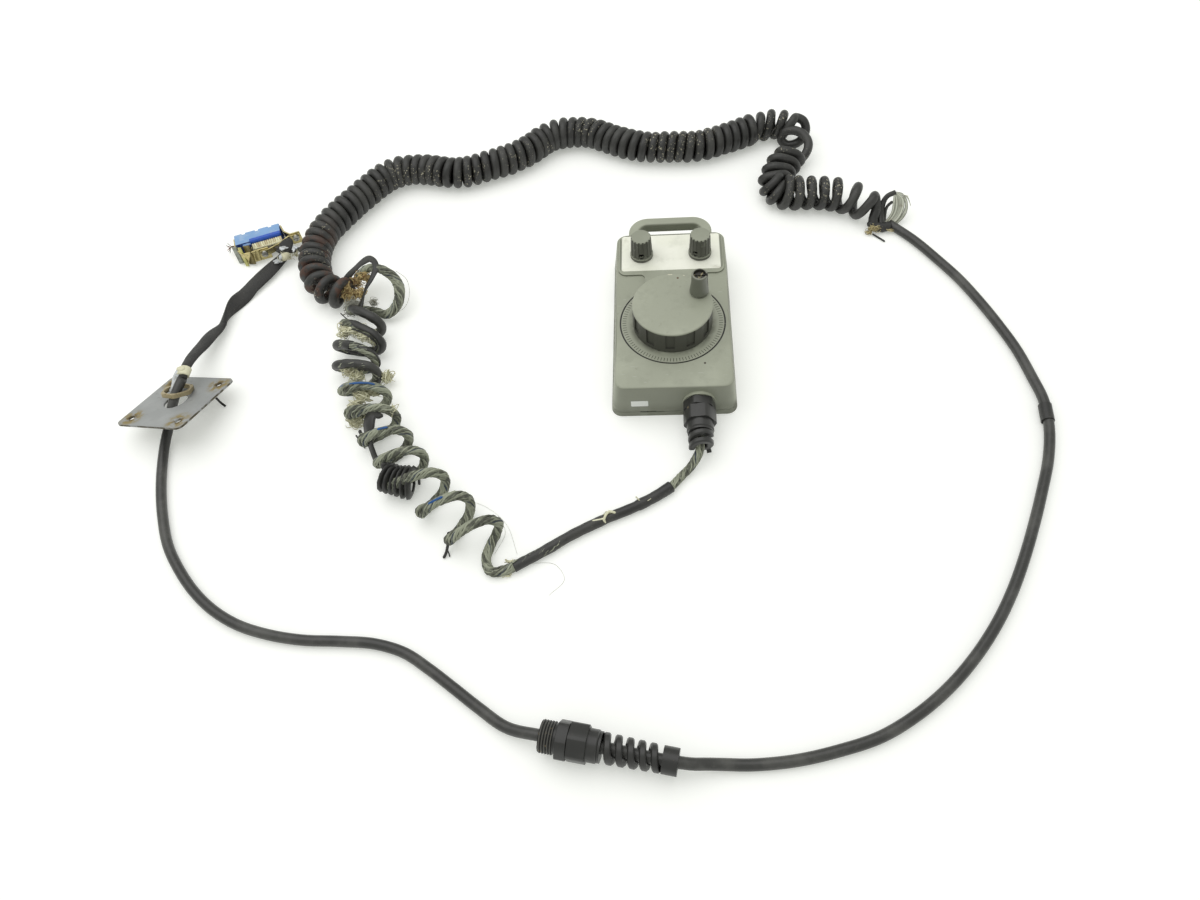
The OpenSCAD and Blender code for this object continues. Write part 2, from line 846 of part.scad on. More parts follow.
module encoder_body() {
    color("#4b4d4f")
        at_dial()
            difference() {
                union() {
                    translate([0, 0, inner_z - encoder_flange_t])
                        cylinder(d = encoder_flange_d, h = encoder_flange_t);
                    translate([0, 0, lower_bearing_z])
                        cylinder(d = bearing_d + 6, h = inner_z - lower_bearing_z);
                    translate([0, 0, inner_z - eps])
                        cylinder(d = spigot_d, h = top_wall + panel_rise + 0.3);
                }
                translate([0, 0, lower_bearing_z - eps])
                    cylinder(d = bearing_d + 2 * slip, h = inner_z - 1 - lower_bearing_z);
                translate([0, 0, lower_bearing_z])
                    cylinder(d = shaft_d + 2.4, h = case_h);
                translate([0, -dial_y, 0])
                    at_encoder_screws()
                        translate([0, 0, inner_z - encoder_flange_t - 1])
                            cylinder(d = small_screw_d + 2 * loose, h = encoder_flange_t + 2);
            }
}

module encoder_can() {
    color("#9a9c9c")
        at_dial()
            difference() {
                translate([0, 0, can_z])
                    cylinder(d = can_d, h = inner_z - encoder_flange_t - can_z);
                translate([0, 0, can_z + can_t])
                    cylinder(d = can_d - 2 * can_t, h = case_h);
            }
}

// Forked head that straddles the edge of the slotted disc
module encoder_sensor() {
    color("#303234")
        at_dial()
            difference() {
                translate([-sensor_w / 2, -sensor_y, can_z + can_t])
                    cube([sensor_w, sensor_y - disc_d / 2 + sensor_reach, sensor_h]);
                translate([-sensor_w, -disc_d / 2 - 0.8, disc_z + (disc_t - sensor_slot) / 2])
                    cube([2 * sensor_w, disc_d / 2, sensor_slot]);
            }
}

module encoder_bearings() {
    color(steel)
        at_dial()
            for (z = [lower_bearing_z + 0.1, upper_bearing_z])
                translate([0, 0, z])
                    ring(bearing_d, shaft_d + 2 * slip, bearing_w);
}

module encoder_screws() {
    color(steel)
        at_encoder_screws() {
            translate([0, 0, inner_z - encoder_flange_t - small_head_h])
                cylinder(d = small_head_d, h = small_head_h);
            translate([0, 0, inner_z - encoder_flange_t - eps])
                cylinder(d = small_screw_d, h = encoder_flange_t + encoder_bite);
        }
}

// ---- Rotary switches ----

module rotary_switch(side) {
    color("#3d3f42")
        at_knob(side)
            difference() {
                union() {
                    translate([0, 0, inner_z - switch_h])
                        cylinder(d = switch_d, h = switch_h);
                    translate([0, 0, inner_z - eps])
                        cylinder(d = neck_d, h = neck_top - inner_z);
                    for (a = [15:30:345])
                        rotate([0, 0, a])
                            translate([switch_d / 2 - 3, -0.9, inner_z - switch_h - 3])
                                cube([0.6, 1.8, 3 + eps]);
                }
                translate([0, 0, inner_z - switch_h + 3])
                    cylinder(d = selector_d + 2 * slip, h = case_h);
            }
}

module axis_switch() { rotary_switch(-1); }
module range_switch() { rotary_switch(1); }

module switch_nuts() {
    color(steel)
        for (side = [-1, 1])
            at_knob(side) {
                translate([0, 0, label_z + label_t])
                    ring(switch_nut_af + 1.6, neck_d + 2 * fit, washer_t);
                translate([0, 0, label_z + label_t + washer_t])
                    difference() {
                        hexagon(switch_nut_af, switch_nut_h);
                        translate([0, 0, -eps])
                            cylinder(d = neck_d + 2 * fit, h = switch_nut_h + 1);
                    }
            }
}

// ---- Handwheel ----

module wheel_groove() {
    w = wheel_d * PI * groove_deg / 360;
    translate([wheel_d / 2 - groove_depth, -w / 2, skirt_h])
        cube([2 * groove_depth, w, wheel_h - skirt_h - rim_t]);
}

module handwheel() {
    color(case_paint)
        at_dial()
            translate([0, 0, wheel_z])
                difference() {
                    union() {
                        difference() {
                            rotate_extrude($fn = 96)
                                wheel_profile();
                            translate([0, 0, -eps])
                                cylinder(d = wheel_d - 2 * wheel_wall, h = wheel_h - wheel_top);
                        }
                        cylinder(d = hub_d, h = wheel_h - wheel_top + eps);
                        for (a = [0:60:300])
                            rotate([0, 0, a + crank_bearing])
                                translate([hub_d / 2 - 0.5, -wheel_rib_t / 2,
                                           wheel_h - wheel_top - wheel_rib_h])
                                    cube([(wheel_d - hub_d) / 2 - wheel_wall + 1, wheel_rib_t,
                                          wheel_rib_h + eps]);
                        translate([crank_x, crank_y, wheel_h - wheel_top - crank_thread])
                            cylinder(d = crank_screw_d + 4.6, h = crank_thread + eps);
                        translate([crank_x, crank_y, wheel_h - eps])
                            cylinder(d = crank_screw_d + 3, h = grip_gap - 0.1);
                    }
                    for (i = [0:groove_count - 1])
                        rotate([0, 0, groove_bearing + i * 360 / groove_count])
                            wheel_groove();
                    translate([0, 0, -eps])
                        cylinder(d = shaft_d + 2 * slip, h = wheel_h - wheel_top);
                    translate([crank_x, crank_y, wheel_h - wheel_top - crank_thread - 1])
                        cylinder(d = crank_screw_d - 1 + 2 * fit, h = crank_thread + wheel_top + 3);
                    for (a = wheel_screw_bearings)
                        rotate([0, 0, a])
                            translate([0, 0, wheel_screw_z])
                                rotate([0, 90, 0])
                                    cylinder(d = set_screw_d + 2 * fit, h = wheel_d);
                }
}

// Half section of the wheel's outside, its top edge softened
module wheel_profile() {
    r = wheel_d / 2;
    soft = 0.8;
    square([r - soft, wheel_h]);
    square([r, wheel_h - soft]);
    translate([r - soft, wheel_h - soft])
        circle(r = soft, $fn = 32);
}

module wheel_shaft() {
    color(steel)
        at_dial()
            difference() {
                union() {
                    translate([0, 0, disc_z - 1])
                        cylinder(d = shaft_d, h = wheel_top_z - wheel_top - 0.5 - disc_z + 1);
                    translate([0, 0, lower_bearing_z - 1.3])
                        cylinder(d = shaft_d + 2.2, h = 1.2);
                }
                for (a = wheel_screw_bearings)
                    rotate([0, 0, a])
                        translate([shaft_d / 2 - 0.5, -shaft_d, wheel_z + wheel_screw_z - 3])
                            cube([2, 2 * shaft_d, 6]);
            }
}

module encoder_disc() {
    color("#7d8284")
        at_dial()
            difference() {
                union() {
                    translate([0, 0, disc_z])
                        cylinder(d = disc_d, h = disc_t);
                    translate([0, 0, disc_z])
                        cylinder(d = shaft_d + 4, h = disc_hub_h);
                }
                translate([0, 0, disc_z - 1])
                    cylinder(d = shaft_d + 2 * slip, h = disc_hub_h + 2);
                for (a = [0:10:350])
                    rotate([0, 0, a])
                        translate([disc_d / 2 - 4, -0.5, disc_z - 1])
                            cube([2.6, 1, 3]);
            }
}

module wheel_set_screws() {
    color(steel)
        at_dial()
            for (a = wheel_screw_bearings)
                rotate([0, 0, a])
                    translate([shaft_d / 2 - 0.45, 0, wheel_z + wheel_screw_z])
                        rotate([0, 90, 0])
                            set_screw(wheel_screw_l);
}

module set_screw(l) {
    difference() {
        cylinder(d = set_screw_d, h = l);
        translate([0, 0, l - 1.6])
            cylinder(d = 1.7, h = 2, $fn = 6);
    }
}

module at_crank() {
    translate([crank_x, dial_y + crank_y, wheel_top_z])
        children();
}

module crank_screw() {
    floor_z = grip_gap + grip_h - grip_recess;
    color(brass)
        at_crank()
            difference() {
                union() {
                    translate([0, 0, grip_gap - 0.1])
                        cylinder(d = crank_screw_d, h = floor_z - grip_gap + 0.2 + eps);
                    translate([0, 0, -wheel_top - crank_thread + 1])
                        cylinder(d = crank_screw_d - 1, h = wheel_top + crank_thread + grip_gap);
                    translate([0, 0, floor_z + 0.1])
                        cylinder(d = crank_head_d, h = 2.4);
                }
                translate([-crank_head_d, -0.6, floor_z + 1.5])
                    cube([2 * crank_head_d, 1.2, 2]);
            }
}

module crank_grip() {
    color(case_paint)
        at_crank()
            translate([0, 0, grip_gap])
                difference() {
                    rotate_extrude()
                        grip_profile();
                    translate([0, 0, -eps])
                        cylinder(d = crank_screw_d + 2 * fit, h = grip_h);
                    translate([0, 0, grip_h - grip_recess])
                        cylinder(d = grip_recess_d, h = grip_recess + 1);
                }
}

// Half section of the grip: flared foot, slender waist, softened top
module grip_profile() {
    foot = grip_foot_d / 2;
    top = grip_top_d / 2;
    polygon(concat(
        [[0, 0], [foot - 0.5, 0], [foot, 0.6]],
        [for (i = [0:8])
            let (u = i / 8)
                [top + (foot - top) * pow(1 - u, 2), 1.8 + u * (grip_h - 2.8)]],
        [for (a = [30:30:90]) [top - 1 + cos(a), grip_h - 1 + sin(a)]],
        [[0, grip_h]]));
}

// ---- Selector knobs ----

module knob_profile() {
    foot = knob_foot_d / 2;
    top = knob_top_d / 2;
    polygon([[0, 0], [foot, 0], [foot, 2.2], [foot - 0.5, 2.8], [top, knob_h - 0.7],
             [top - 0.7, knob_h], [0, knob_h]]);
}

module knob(side, turn) {
    lean = atan((knob_foot_d - 1 - knob_top_d) / 2 / (knob_h - 3.5));
    color(case_paint)
        at_knob(side)
            translate([0, 0, knob_z])
                rotate([0, 0, turn])
                    difference() {
                        rotate_extrude()
                            knob_profile();
                        for (i = [0:flute_count - 1])
                            rotate([0, 0, (i + 0.5) * 360 / flute_count])
                                translate([knob_foot_d / 2 - 0.15, 0, 3.2])
                                    rotate([0, -lean, 0])
                                        cylinder(r = flute_r, h = knob_h, $fn = 16);
                        translate([0, 0, -eps])
                            cylinder(d = selector_d + 2 * slip, h = shaft_top - knob_z + 0.3);
                        translate([0, 0, -eps])
                            cylinder(d = switch_nut_af * 1.1 + 1.2, h = neck_top - knob_z + 0.4);
                        translate([0, 0, knob_hole_z])
                            rotate([90, 0, 0])
                                cylinder(d = knob_hole_d, h = knob_foot_d);
                    }
}

module selector_shaft(side, turn) {
    color(steel)
        at_knob(side)
            rotate([0, 0, turn])
                difference() {
                    translate([0, 0, inner_z - switch_h + 3.2])
                        cylinder(d = selector_d, h = shaft_top - inner_z + switch_h - 3.2);
                    translate([-selector_d, -selector_d - selector_d / 2 + 0.6,
                               knob_z + knob_hole_z - 1.6])
                        cube([2 * selector_d, selector_d, knob_h]);
                }
}

module selector_set_screw(side, turn) {
    color("#55524a")
        at_knob(side)
            translate([0, 0, knob_z + knob_hole_z])
                rotate([90, 0, turn])
                    translate([0, 0, selector_d / 2 - 0.55])
                        set_screw(4);
}

module axis_knob() { knob(-1, 0); }
module axis_shaft() { selector_shaft(-1, 0); }
module axis_set_screw() { selector_set_screw(-1, 0); }
module range_knob() { knob(1, range_turn); }
module range_shaft() { selector_shaft(1, range_turn); }
module range_set_screw() { selector_set_screw(1, range_turn); }

// ---- Glands ----

module gland_shape(stub, turn) {
    difference() {
        union() {
            translate([0, 0, -stub])
                cylinder(d = thread_d, h = stub + eps);
            rotate([0, 0, turn])
                hexagon(gland_af, gland_hex_l);
            cylinder(d = gland_neck_d, h = gland_hex_l + gland_neck_l);
        }
        translate([0, 0, -stub - 1])
            cylinder(d = gland_bore_d, h = stub + gland_hex_l + gland_neck_l + 2);
    }
}

module seal_shape(bore) {
    translate([0, 0, gland_hex_l + gland_neck_l + fit])
        ring(gland_neck_d - 3, bore, seal_l);
}

module nut_shape(turn) {
    translate([0, 0, gland_hex_l + 0.3])
        difference() {
            union() {
                rotate([0, 0, turn])
                    hexagon(gland_af, nut_hex_l);
                cylinder(d = nut_collar_d, h = nut_hex_l + nut_collar_l - 1);
                translate([0, 0, nut_hex_l + nut_collar_l - 1 - eps])
                    cylinder(d1 = nut_collar_d, d2 = nut_collar_d - 2, h = 1 + eps);
            }
            translate([0, 0, -1])
                cylinder(d = gland_neck_d + 2 * fit, h = gland_neck_l + 0.8);
            translate([0, 0, gland_neck_l - 0.3])
                cylinder(d = gland_neck_d - 3 + 2 * fit, h = seal_l + 0.2);
            translate([0, 0, gland_neck_l])
                cylinder(d = gland_bore_d, h = nut_hex_l + nut_collar_l);
        }
}

// One bar section of the spiral, given the outer radius, the angle and the height
function spiral_section(r, a, z) =
    let (ri = gland_bore_d / 2 + 0.2, w = guard_bar / 2, c = 0.9)
        [for (p = [[ri, -w + c], [ri + c, -w], [r - c, -w], [r, -w + c],
                   [r, w - c], [r - c, w], [ri + c, w], [ri, w - c]])
            [p[0] * cos(a), p[0] * sin(a), z + p[1]]];

module spiral(turns, r0, r1) {
    steps = round(turns * 20);
    points = [for (i = [0:steps])
        each spiral_section(r0 + (r1 - r0) * i / steps, 360 * turns * i / steps,
                            guard_pitch * turns * i / steps)];
    sides = [for (i = [0:steps - 1], k = [0:7])
        let (j = (k + 1) % 8)
            each [[i * 8 + k, i * 8 + j, (i + 1) * 8 + k],
                  [i * 8 + j, (i + 1) * 8 + j, (i + 1) * 8 + k]]];
    first = [[for (k = [7:-1:0]) k]];
    last = [[for (k = [0:7]) steps * 8 + k]];
    polyhedron(points = points, faces = concat(sides, first, last), convexity = 12);
}

module guard_shape(turns, with_ring) {
    root_r = nut_collar_d / 2 - 0.6;
    ring_r = guard_ring_d / 2;
    share = turns / guard_turns;
    translate([0, 0, gland_hex_l + 0.3 + nut_hex_l + nut_collar_l]) {
        ring(2 * root_r, gland_bore_d, 1.4);
        translate([0, 0, guard_bar / 2 + 0.2])
            spiral(turns, root_r, root_r + (ring_r - root_r) * share);
        if (with_ring)
            translate([0, 0, turns * guard_pitch + guard_bar - 1.4])
                ring(2 * ring_r, gland_bore_d, guard_ring_l);
    }
}

module locknut_shape() {
    difference() {
        hexagon(gland_af, locknut_t);
        translate([0, 0, -1])
            cylinder(d = thread_d + 2 * fit, h = locknut_t + 2);
    }
}

module gland_body() {
    color(black)
        on_gland_pad()
            gland_shape(wall + end_draft + locknut_t + 1.4, pad_body_turn);
}

module gland_locknut() {
    color(black)
        on_gland_pad()
            translate([0, 0, -wall - end_draft - locknut_t - 0.1])
                locknut_shape();
}

module gland_seal() {
    color("#1f2020")
        on_gland_pad()
            seal_shape(bundle_d + 2 * fit);
}

module gland_nut() {
    color(black)
        on_gland_pad()
            nut_shape(pad_nut_turn);
}

module gland_guard() {
    color(black)
        on_gland_pad()
            guard_shape(stub_turns, false);
}

module inline_body() {
    color(black)
        on_inline()
            gland_shape(thread_l, inline_body_turn);
}

module inline_seal() {
    color("#1f2020")
        on_inline()
            seal_shape(cord_d + 2 * fit);
}

module inline_nut() {
    color(black)
        on_inline()
            nut_shape(inline_nut_turn);
}

module inline_guard() {
    color(black)
        on_inline()
            guard_shape(guard_turns, true);
}

// ---- Cord ----

module cord_bundle() { color("#868a78") tube(bundle_route, bundle_d, finish = bundle_end); }

module cord_sheath() {
    color(black)
        tube(sheath_route, cord_d, start = bundle_end, finish = sheath_end);
}

module cord_loose_coil() {
    color("#6d7064")
        tube(loose_coil_route, coil_d, 12, sheath_end, loose_coil_end);
}

module cord_frayed_loop() {
    color("#86876f")
        tube(frayed_loop_route, frayed_d, 12, loose_coil_end);
}

module cord_coil_west() { color(black) curly_stretch(0); }
module cord_coil_north() { color(black) curly_stretch(1); }
module cord_coil_middle() { color(black) curly_stretch(2); }
module cord_coil_east() { color(black) curly_stretch(3); }
module cord_coil_turn() { color(black) curly_stretch(4); }

module cord_coil_stretched() {
    color(black)
        stretch(curly_route, curly_joints[5], curly_joints[6], coil_d, 12, finish = curly_end);
}

module cord_long_run() {
    color(black)
        stretch(smooth_route, 0, inline_joint, cord_d, start = curly_end);
}

module cord_left_run() {
    color(black)
        stretch(smooth_route, inline_joint, len(smooth_route) - 1, cord_d, finish = smooth_end);
}

module cord_sleeve() {
    color("#3a3b38")
        tube(sleeve_route, sleeve_d, start = smooth_end);
}

// A band round a straight stretch between two route points
module band(p0, p1, start, l, d_out, d_in) {
    v = unit(p1 - p0);
    translate(p0 + start * v)
        rotate([0, acos(v[2]), atan2(v[1], v[0])])
            ring(d_out, d_in, l);
}

module cord_splice() {
    color("#26272a")
        band(smooth_route[splice_point], smooth_route[splice_point + 1], 4, splice_l,
             cord_d + 1.8, cord_d + 2 * fit);
}

module cord_ties() {
    color("#dfdcc4") {
        band(sleeve_route[0], sleeve_route[1], 1.5, 5, sleeve_d + 1.6, sleeve_d + 2 * fit);
        band(sleeve_route[7], sleeve_route[8], 6, 4, sleeve_d + 1.6, sleeve_d + 2 * fit);
    }
}

// ---- Mounting plate ----

module mounting_plate() {
    color("#8a9196")
        on_plate()
            difference() {
                linear_extrude(plate_t)
                    rounded_square(plate_w, plate_w, plate_r);
                translate([0, 0, -1])
                    cylinder(d = plate_bore_d, h = plate_t + 2);
                for (sx = [-1, 1], sy = [-1, 1])
                    translate([sx * plate_pitch / 2, sy * plate_pitch / 2, -1])
                        cylinder(d = plate_hole_d, h = plate_t + 2);
            }
}

module plate_locknut() {
    color(brass)
        on_plate()
            translate([locknut_at[0], locknut_at[1], locknut_lift])
                rotate(locknut_lean, locknut_axis)
                    locknut_shape();
}

// ---- Plug ----

module plug_insulator() {
    color("#5a8fd0")
        on_plug()
            difference() {
                union() {
                    translate([-plug_l / 2, -plug_d / 2, 0])
                        cube([plug_l, plug_d, plug_h]);
                    translate([-plug_l / 2 + 6, -plug_d / 2 - plug_rib, 1.5])
                        cube([plug_l - 12, plug_rib + eps, plug_h - 3]);
                }
                translate([-plug_l / 2 + 4, plug_d / 2 - socket_deep, 2.5])
                    cube([plug_l - 8, socket_deep + 1, plug_h - 5]);
                for (x = [-12, 0, 12])
                    translate([x - 1.5, plug_d / 2 - 1.6, plug_h - 1.2])
                        cube([3, 3, 3]);
            }
}

module plug_contacts() {
    color("#d8cfa0")
        on_plug()
            for (i = [0:contact_count - 1], z = [4.5, plug_h - 4.5])
                translate([(i - (contact_count - 1) / 2) * contact_pitch, 0, z])
                    rotate([-90, 0, 0]) {
                        translate([0, 0, plug_d / 2 - socket_deep])
                            cylinder(d = 1.2, h = socket_deep - 1, $fn = 16);
                        translate([0, 0, -plug_d / 2 - plug_rib - solder_cup])
                            cylinder(d = 1.8, h = solder_cup, $fn = 16);
                    }
}

// One side of a strip that follows a bent line, its corners mitred
function strip_side(path, half) =
    let (n = len(path) - 1)
        [for (i = [0:n])
            let (a = unit(path[max(i, 1)] - path[max(i, 1) - 1]),
                 b = unit(path[min(i, n - 1) + 1] - path[min(i, n - 1)]),
                 m = unit([-a[1] - b[1], a[0] + b[0]]))
                path[i] + half / (a[0] * m[1] - a[1] * m[0]) * m];

// Strip of sheet standing on edge along a bent line
module bent_strip(path, z0, h) {
    back = strip_side(path, -bracket_t / 2);
    translate([0, 0, z0])
        linear_extrude(h)
            polygon(concat(strip_side(path, bracket_t / 2),
                           [for (i = [len(path) - 1:-1:0]) back[i]]));
}

module plug_brackets() {
    color("#b9a55a")
        on_plug()
            difference() {
                union() {
                    bent_strip(left_bracket, 0.5, plug_h - 2);
                    bent_strip(right_bracket, 0.5, plug_h - 2);
                    bent_strip(clamp_strip, clamp_screw_z - 3, 6);
                }
                for (p = clamp_screws)
                    translate([p[0], p[1] + 3, clamp_screw_z])
                        rotate([90, 0, 0])
                            cylinder(d = clamp_screw_d + 2 * fit, h = 6);
            }
}

module plug_screws() {
    color(steel)
        on_plug()
            for (p = clamp_screws)
                translate([p[0], p[1], clamp_screw_z])
                    rotate([90, 0, 0]) {
                        translate([0, 0, bracket_t / 2])
                            difference() {
                                cylinder(d = clamp_head_d, h = clamp_head_h);
                                translate([-clamp_head_d / 2 - 1, -0.4, clamp_head_h - 0.8])
                                    cube([clamp_head_d + 2, 0.8, 1]);
                            }
                        translate([0, 0, -4])
                            cylinder(d = clamp_screw_d, h = 4 + bracket_t / 2 + eps);
                    }
}

front_case();
rear_cover();
case_gasket();
case_screws();
hanging_loop();
label_plate();
asset_sticker();
circuit_board();
board_header();
board_screws();
encoder_body();
encoder_can();
encoder_sensor();
encoder_bearings();
encoder_screws();
axis_switch();
range_switch();
switch_nuts();
handwheel();
wheel_shaft();
encoder_disc();
wheel_set_screws();
crank_screw();
crank_grip();
axis_knob();
axis_shaft();
axis_set_screw();
range_knob();
range_shaft();
range_set_screw();
gland_body();
gland_locknut();
gland_seal();
gland_nut();
gland_guard();
cord_bundle();
cord_sheath();
cord_loose_coil();
cord_frayed_loop();
cord_coil_west();
cord_coil_north();
cord_coil_middle();
cord_coil_east();
cord_coil_turn();
cord_coil_stretched();
cord_long_run();
cord_splice();
inline_body();
inline_seal();
inline_nut();
inline_guard();
cord_left_run();
mounting_plate();
plate_locknut();
cord_sleeve();
cord_ties();
plug_insulator();
plug_contacts();
plug_brackets();
plug_screws();
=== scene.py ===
"""Surfaces and finishes of a hand-held pulse generator, its cord and its plug."""

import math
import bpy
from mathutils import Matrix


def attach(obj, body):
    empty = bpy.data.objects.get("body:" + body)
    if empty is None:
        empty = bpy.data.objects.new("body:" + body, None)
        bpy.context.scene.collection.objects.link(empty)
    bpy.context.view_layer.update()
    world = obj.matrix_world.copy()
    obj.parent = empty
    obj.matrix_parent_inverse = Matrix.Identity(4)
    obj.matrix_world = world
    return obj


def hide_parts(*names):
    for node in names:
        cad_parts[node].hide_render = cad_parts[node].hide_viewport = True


bl_info = {
    "name": "Pulse generator handwheel",
    "version": (1, 0, 0),
    "blender": (4, 5, 0),
    "location": "3D View > Sidebar > Pulse Generator",
    "description": "Builds the surfaces and finishes of a pulse generator, its curly cord and its plug",
    "category": "Object",
}

import bmesh
import bpy
import numpy as np
from bpy.props import FloatProperty, FloatVectorProperty, IntProperty, PointerProperty
from bpy.types import Operator, Panel, PropertyGroup
from mathutils import Matrix, Vector

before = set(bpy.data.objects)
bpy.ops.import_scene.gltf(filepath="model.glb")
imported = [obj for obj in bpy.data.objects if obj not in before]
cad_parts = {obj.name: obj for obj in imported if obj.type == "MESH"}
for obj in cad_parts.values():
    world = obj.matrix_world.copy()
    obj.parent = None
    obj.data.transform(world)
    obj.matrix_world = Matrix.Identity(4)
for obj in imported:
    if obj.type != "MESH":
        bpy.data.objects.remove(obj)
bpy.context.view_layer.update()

MM = 0.001
HOME = "pendant"
UP = np.array([0.0, 0.0, 1.0])
# Depth of the fine relief on plastic and metal
GRAIN = 0.00002


# ---- Lines ----

def unit(v):
    """Each row divided by its length."""
    return v / np.maximum(np.linalg.norm(v, axis=-1, keepdims=True), 1e-12)


def lengths(line):
    """Distance along a line at each of its points."""
    return np.concatenate([[0.0], np.cumsum(np.linalg.norm(np.diff(line, axis=0), axis=1))])


def even(line, step):
    """The same line with its points at even steps."""
    at = lengths(line)
    wanted = np.linspace(0, at[-1], max(int(round(at[-1] / step)), 2) + 1)
    return np.stack([np.interp(wanted, at, line[:, k]) for k in range(3)], axis=1)


def smooth_line(points, step):
    """Cubic through points in millimetres, each one's slope taken from its neighbours, at even
    steps in metres."""
    p = np.asarray(points, float) * MM
    at = lengths(p)
    slope = np.gradient(p, at, axis=0)
    fine = np.linspace(0, at[-1], 30 * len(p))
    i = np.clip(np.searchsorted(at, fine, side="right") - 1, 0, len(p) - 2)
    h = (at[i + 1] - at[i])[:, None]
    t = (fine - at[i])[:, None] / h
    line = ((1 + 2 * t) * (1 - t) ** 2 * p[i] + t * (1 - t) ** 2 * h * slope[i]
            + t * t * (3 - 2 * t) * p[i + 1] + t * t * (t - 1) * h * slope[i + 1])
    return even(line, step)


def axes_of(line, up=None):
    """Direction, side and upper side at each point. With no up given the sides don't twist: the
    turn of each pair of sides against the next is added up, and taken off again."""
    ahead = unit(np.gradient(line, axis=0))
    fixed = np.array([0.011, 0.007, 1.0]) if up is None else up
    side = unit(np.cross(ahead, np.broadcast_to(fixed, line.shape)))
    top = np.cross(side, ahead)
    if up is not None:
        return ahead, side, top
    carried = side[:-1] - (side[:-1] * ahead[1:]).sum(1)[:, None] * ahead[1:]
    step = np.arctan2((carried * top[1:]).sum(1), (carried * side[1:]).sum(1))
    a = np.concatenate([[0.0], np.cumsum(step)])[:, None]
    return ahead, np.cos(a) * side + np.sin(a) * top, np.cos(a) * top - np.sin(a) * side


def wander(along, seed, size, reach):
    """Slow pseudo-random drift along a line: three sines whose periods share no factor."""
    k = np.array([1.0, 1.73, 2.91])
    phase = np.array([0.3, 1.9, 4.1]) * (1 + seed)
    waves = np.sin(2 * math.pi * np.outer(along / size, k) + phase)
    return reach * waves.mean(axis=1)


def raised(line, height):
    """The same line, lifted to a height wherever it lies lower."""
    return np.column_stack([line[:, :2], np.maximum(line[:, 2], height)])


def hump(value, middle, half):
    """1 at the middle, falling to 0 at a distance of half, as a cosine."""
    x = np.clip(np.abs(value - middle) / half, 0, 1)
    return 0.5 + 0.5 * np.cos(math.pi * x)


def rise(value, low, high):
    """0 below low, 1 above high, and a cubic between."""
    x = np.clip((value - low) / (high - low), 0, 1)
    return x * x * (3 - 2 * x)


# ---- Surfaces ----

def ring_profile(sides, flat=1.0):
    """Unit circle, its height squeezed by flat."""
    a = np.linspace(0, 2 * math.pi, sides, endpoint=False)
    return np.stack([np.cos(a), flat * np.sin(a)], axis=1)


def shell_profile(gap, wall, sides=12):
    """Open ring of outer radius 1: the outer arc, then the inner arc back, less a gap at the top."""
    a = math.pi / 2 + np.linspace(gap / 2, 2 * math.pi - gap / 2, sides)
    outer = np.stack([np.cos(a), np.sin(a)], axis=1)
    return np.concatenate([outer, outer[::-1] * (1 - wall)])


def box_profile(w, h):
    """Flat strip with cut corners, given by its half width and half height."""
    c = 0.25 * min(w, h)
    return np.array([(w - c, -h), (w, -h + c), (w, h - c), (w - c, h),
                     (-w + c, h), (-w, h - c), (-w, -h + c), (-w + c, -h)])


def sweep(line, profile, size=1.0, up=None, turn=0.0):
    """Carries a profile along a line. Each ring is the profile times its size, turned by its turn,
    across the side and upper side of the line there."""
    _, side, top = axes_of(line, up)
    n = len(line)
    size = np.broadcast_to(np.asarray(size, float).reshape(-1, 1), (n, 1))
    turn = np.broadcast_to(np.asarray(turn, float).reshape(-1, 1), (n, 1))
    profile = np.broadcast_to(profile, (n, *profile.shape[-2:]))
    x, y = size * profile[..., 0], size * profile[..., 1]
    x, y = x * np.cos(turn) - y * np.sin(turn), x * np.sin(turn) + y * np.cos(turn)
    return line[:, None] + x[..., None] * side[:, None] + y[..., None] * top[:, None]


def tube(line, radius, sides=12, up=None, flat=1.0):
    """Round or flattened tube along a line."""
    return sweep(line, ring_profile(sides, flat), radius, up)


def rounded(line, radius, sides):
    """Tube whose two ends are drawn in over half a radius, as a cut end that is worn."""
    at = lengths(line)
    near = np.minimum(at, at[-1] - at) / (0.5 * radius)
    return tube(line, radius * np.sqrt(np.clip(1 - (1 - np.clip(near, 0, 1)) ** 2, 0.12, 1)), sides)


def bar(skin, points, radius, sides, tag, step=0.8):
    """A bar with worn ends along a smooth line through the points, all in millimetres."""
    return skin.add(rounded(smooth_line(points, step * MM), radius * MM, sides), tag=tag)


def blob(centre, reach, seed, rough=0.25, rows=10, sides=14):
    """Lump: an ellipsoid of the given half sizes whose radius varies with sines of both angles."""
    up_angle = np.linspace(-1.45, 1.45, rows)[:, None]
    a = np.linspace(0, 2 * math.pi, sides, endpoint=False)[None, :]
    lump = 1 + rough * (np.sin(3 * a + seed) * np.cos(2 * up_angle + seed)
                        + 0.6 * np.sin(5 * a - 2 * seed) * np.sin(4 * up_angle + seed)) / 1.6
    across = np.cos(up_angle) * lump
    shape = np.stack([across * np.cos(a), across * np.sin(a), np.sin(up_angle) * lump], axis=-1)
    return np.asarray(centre) * MM + shape * np.asarray(reach) * MM


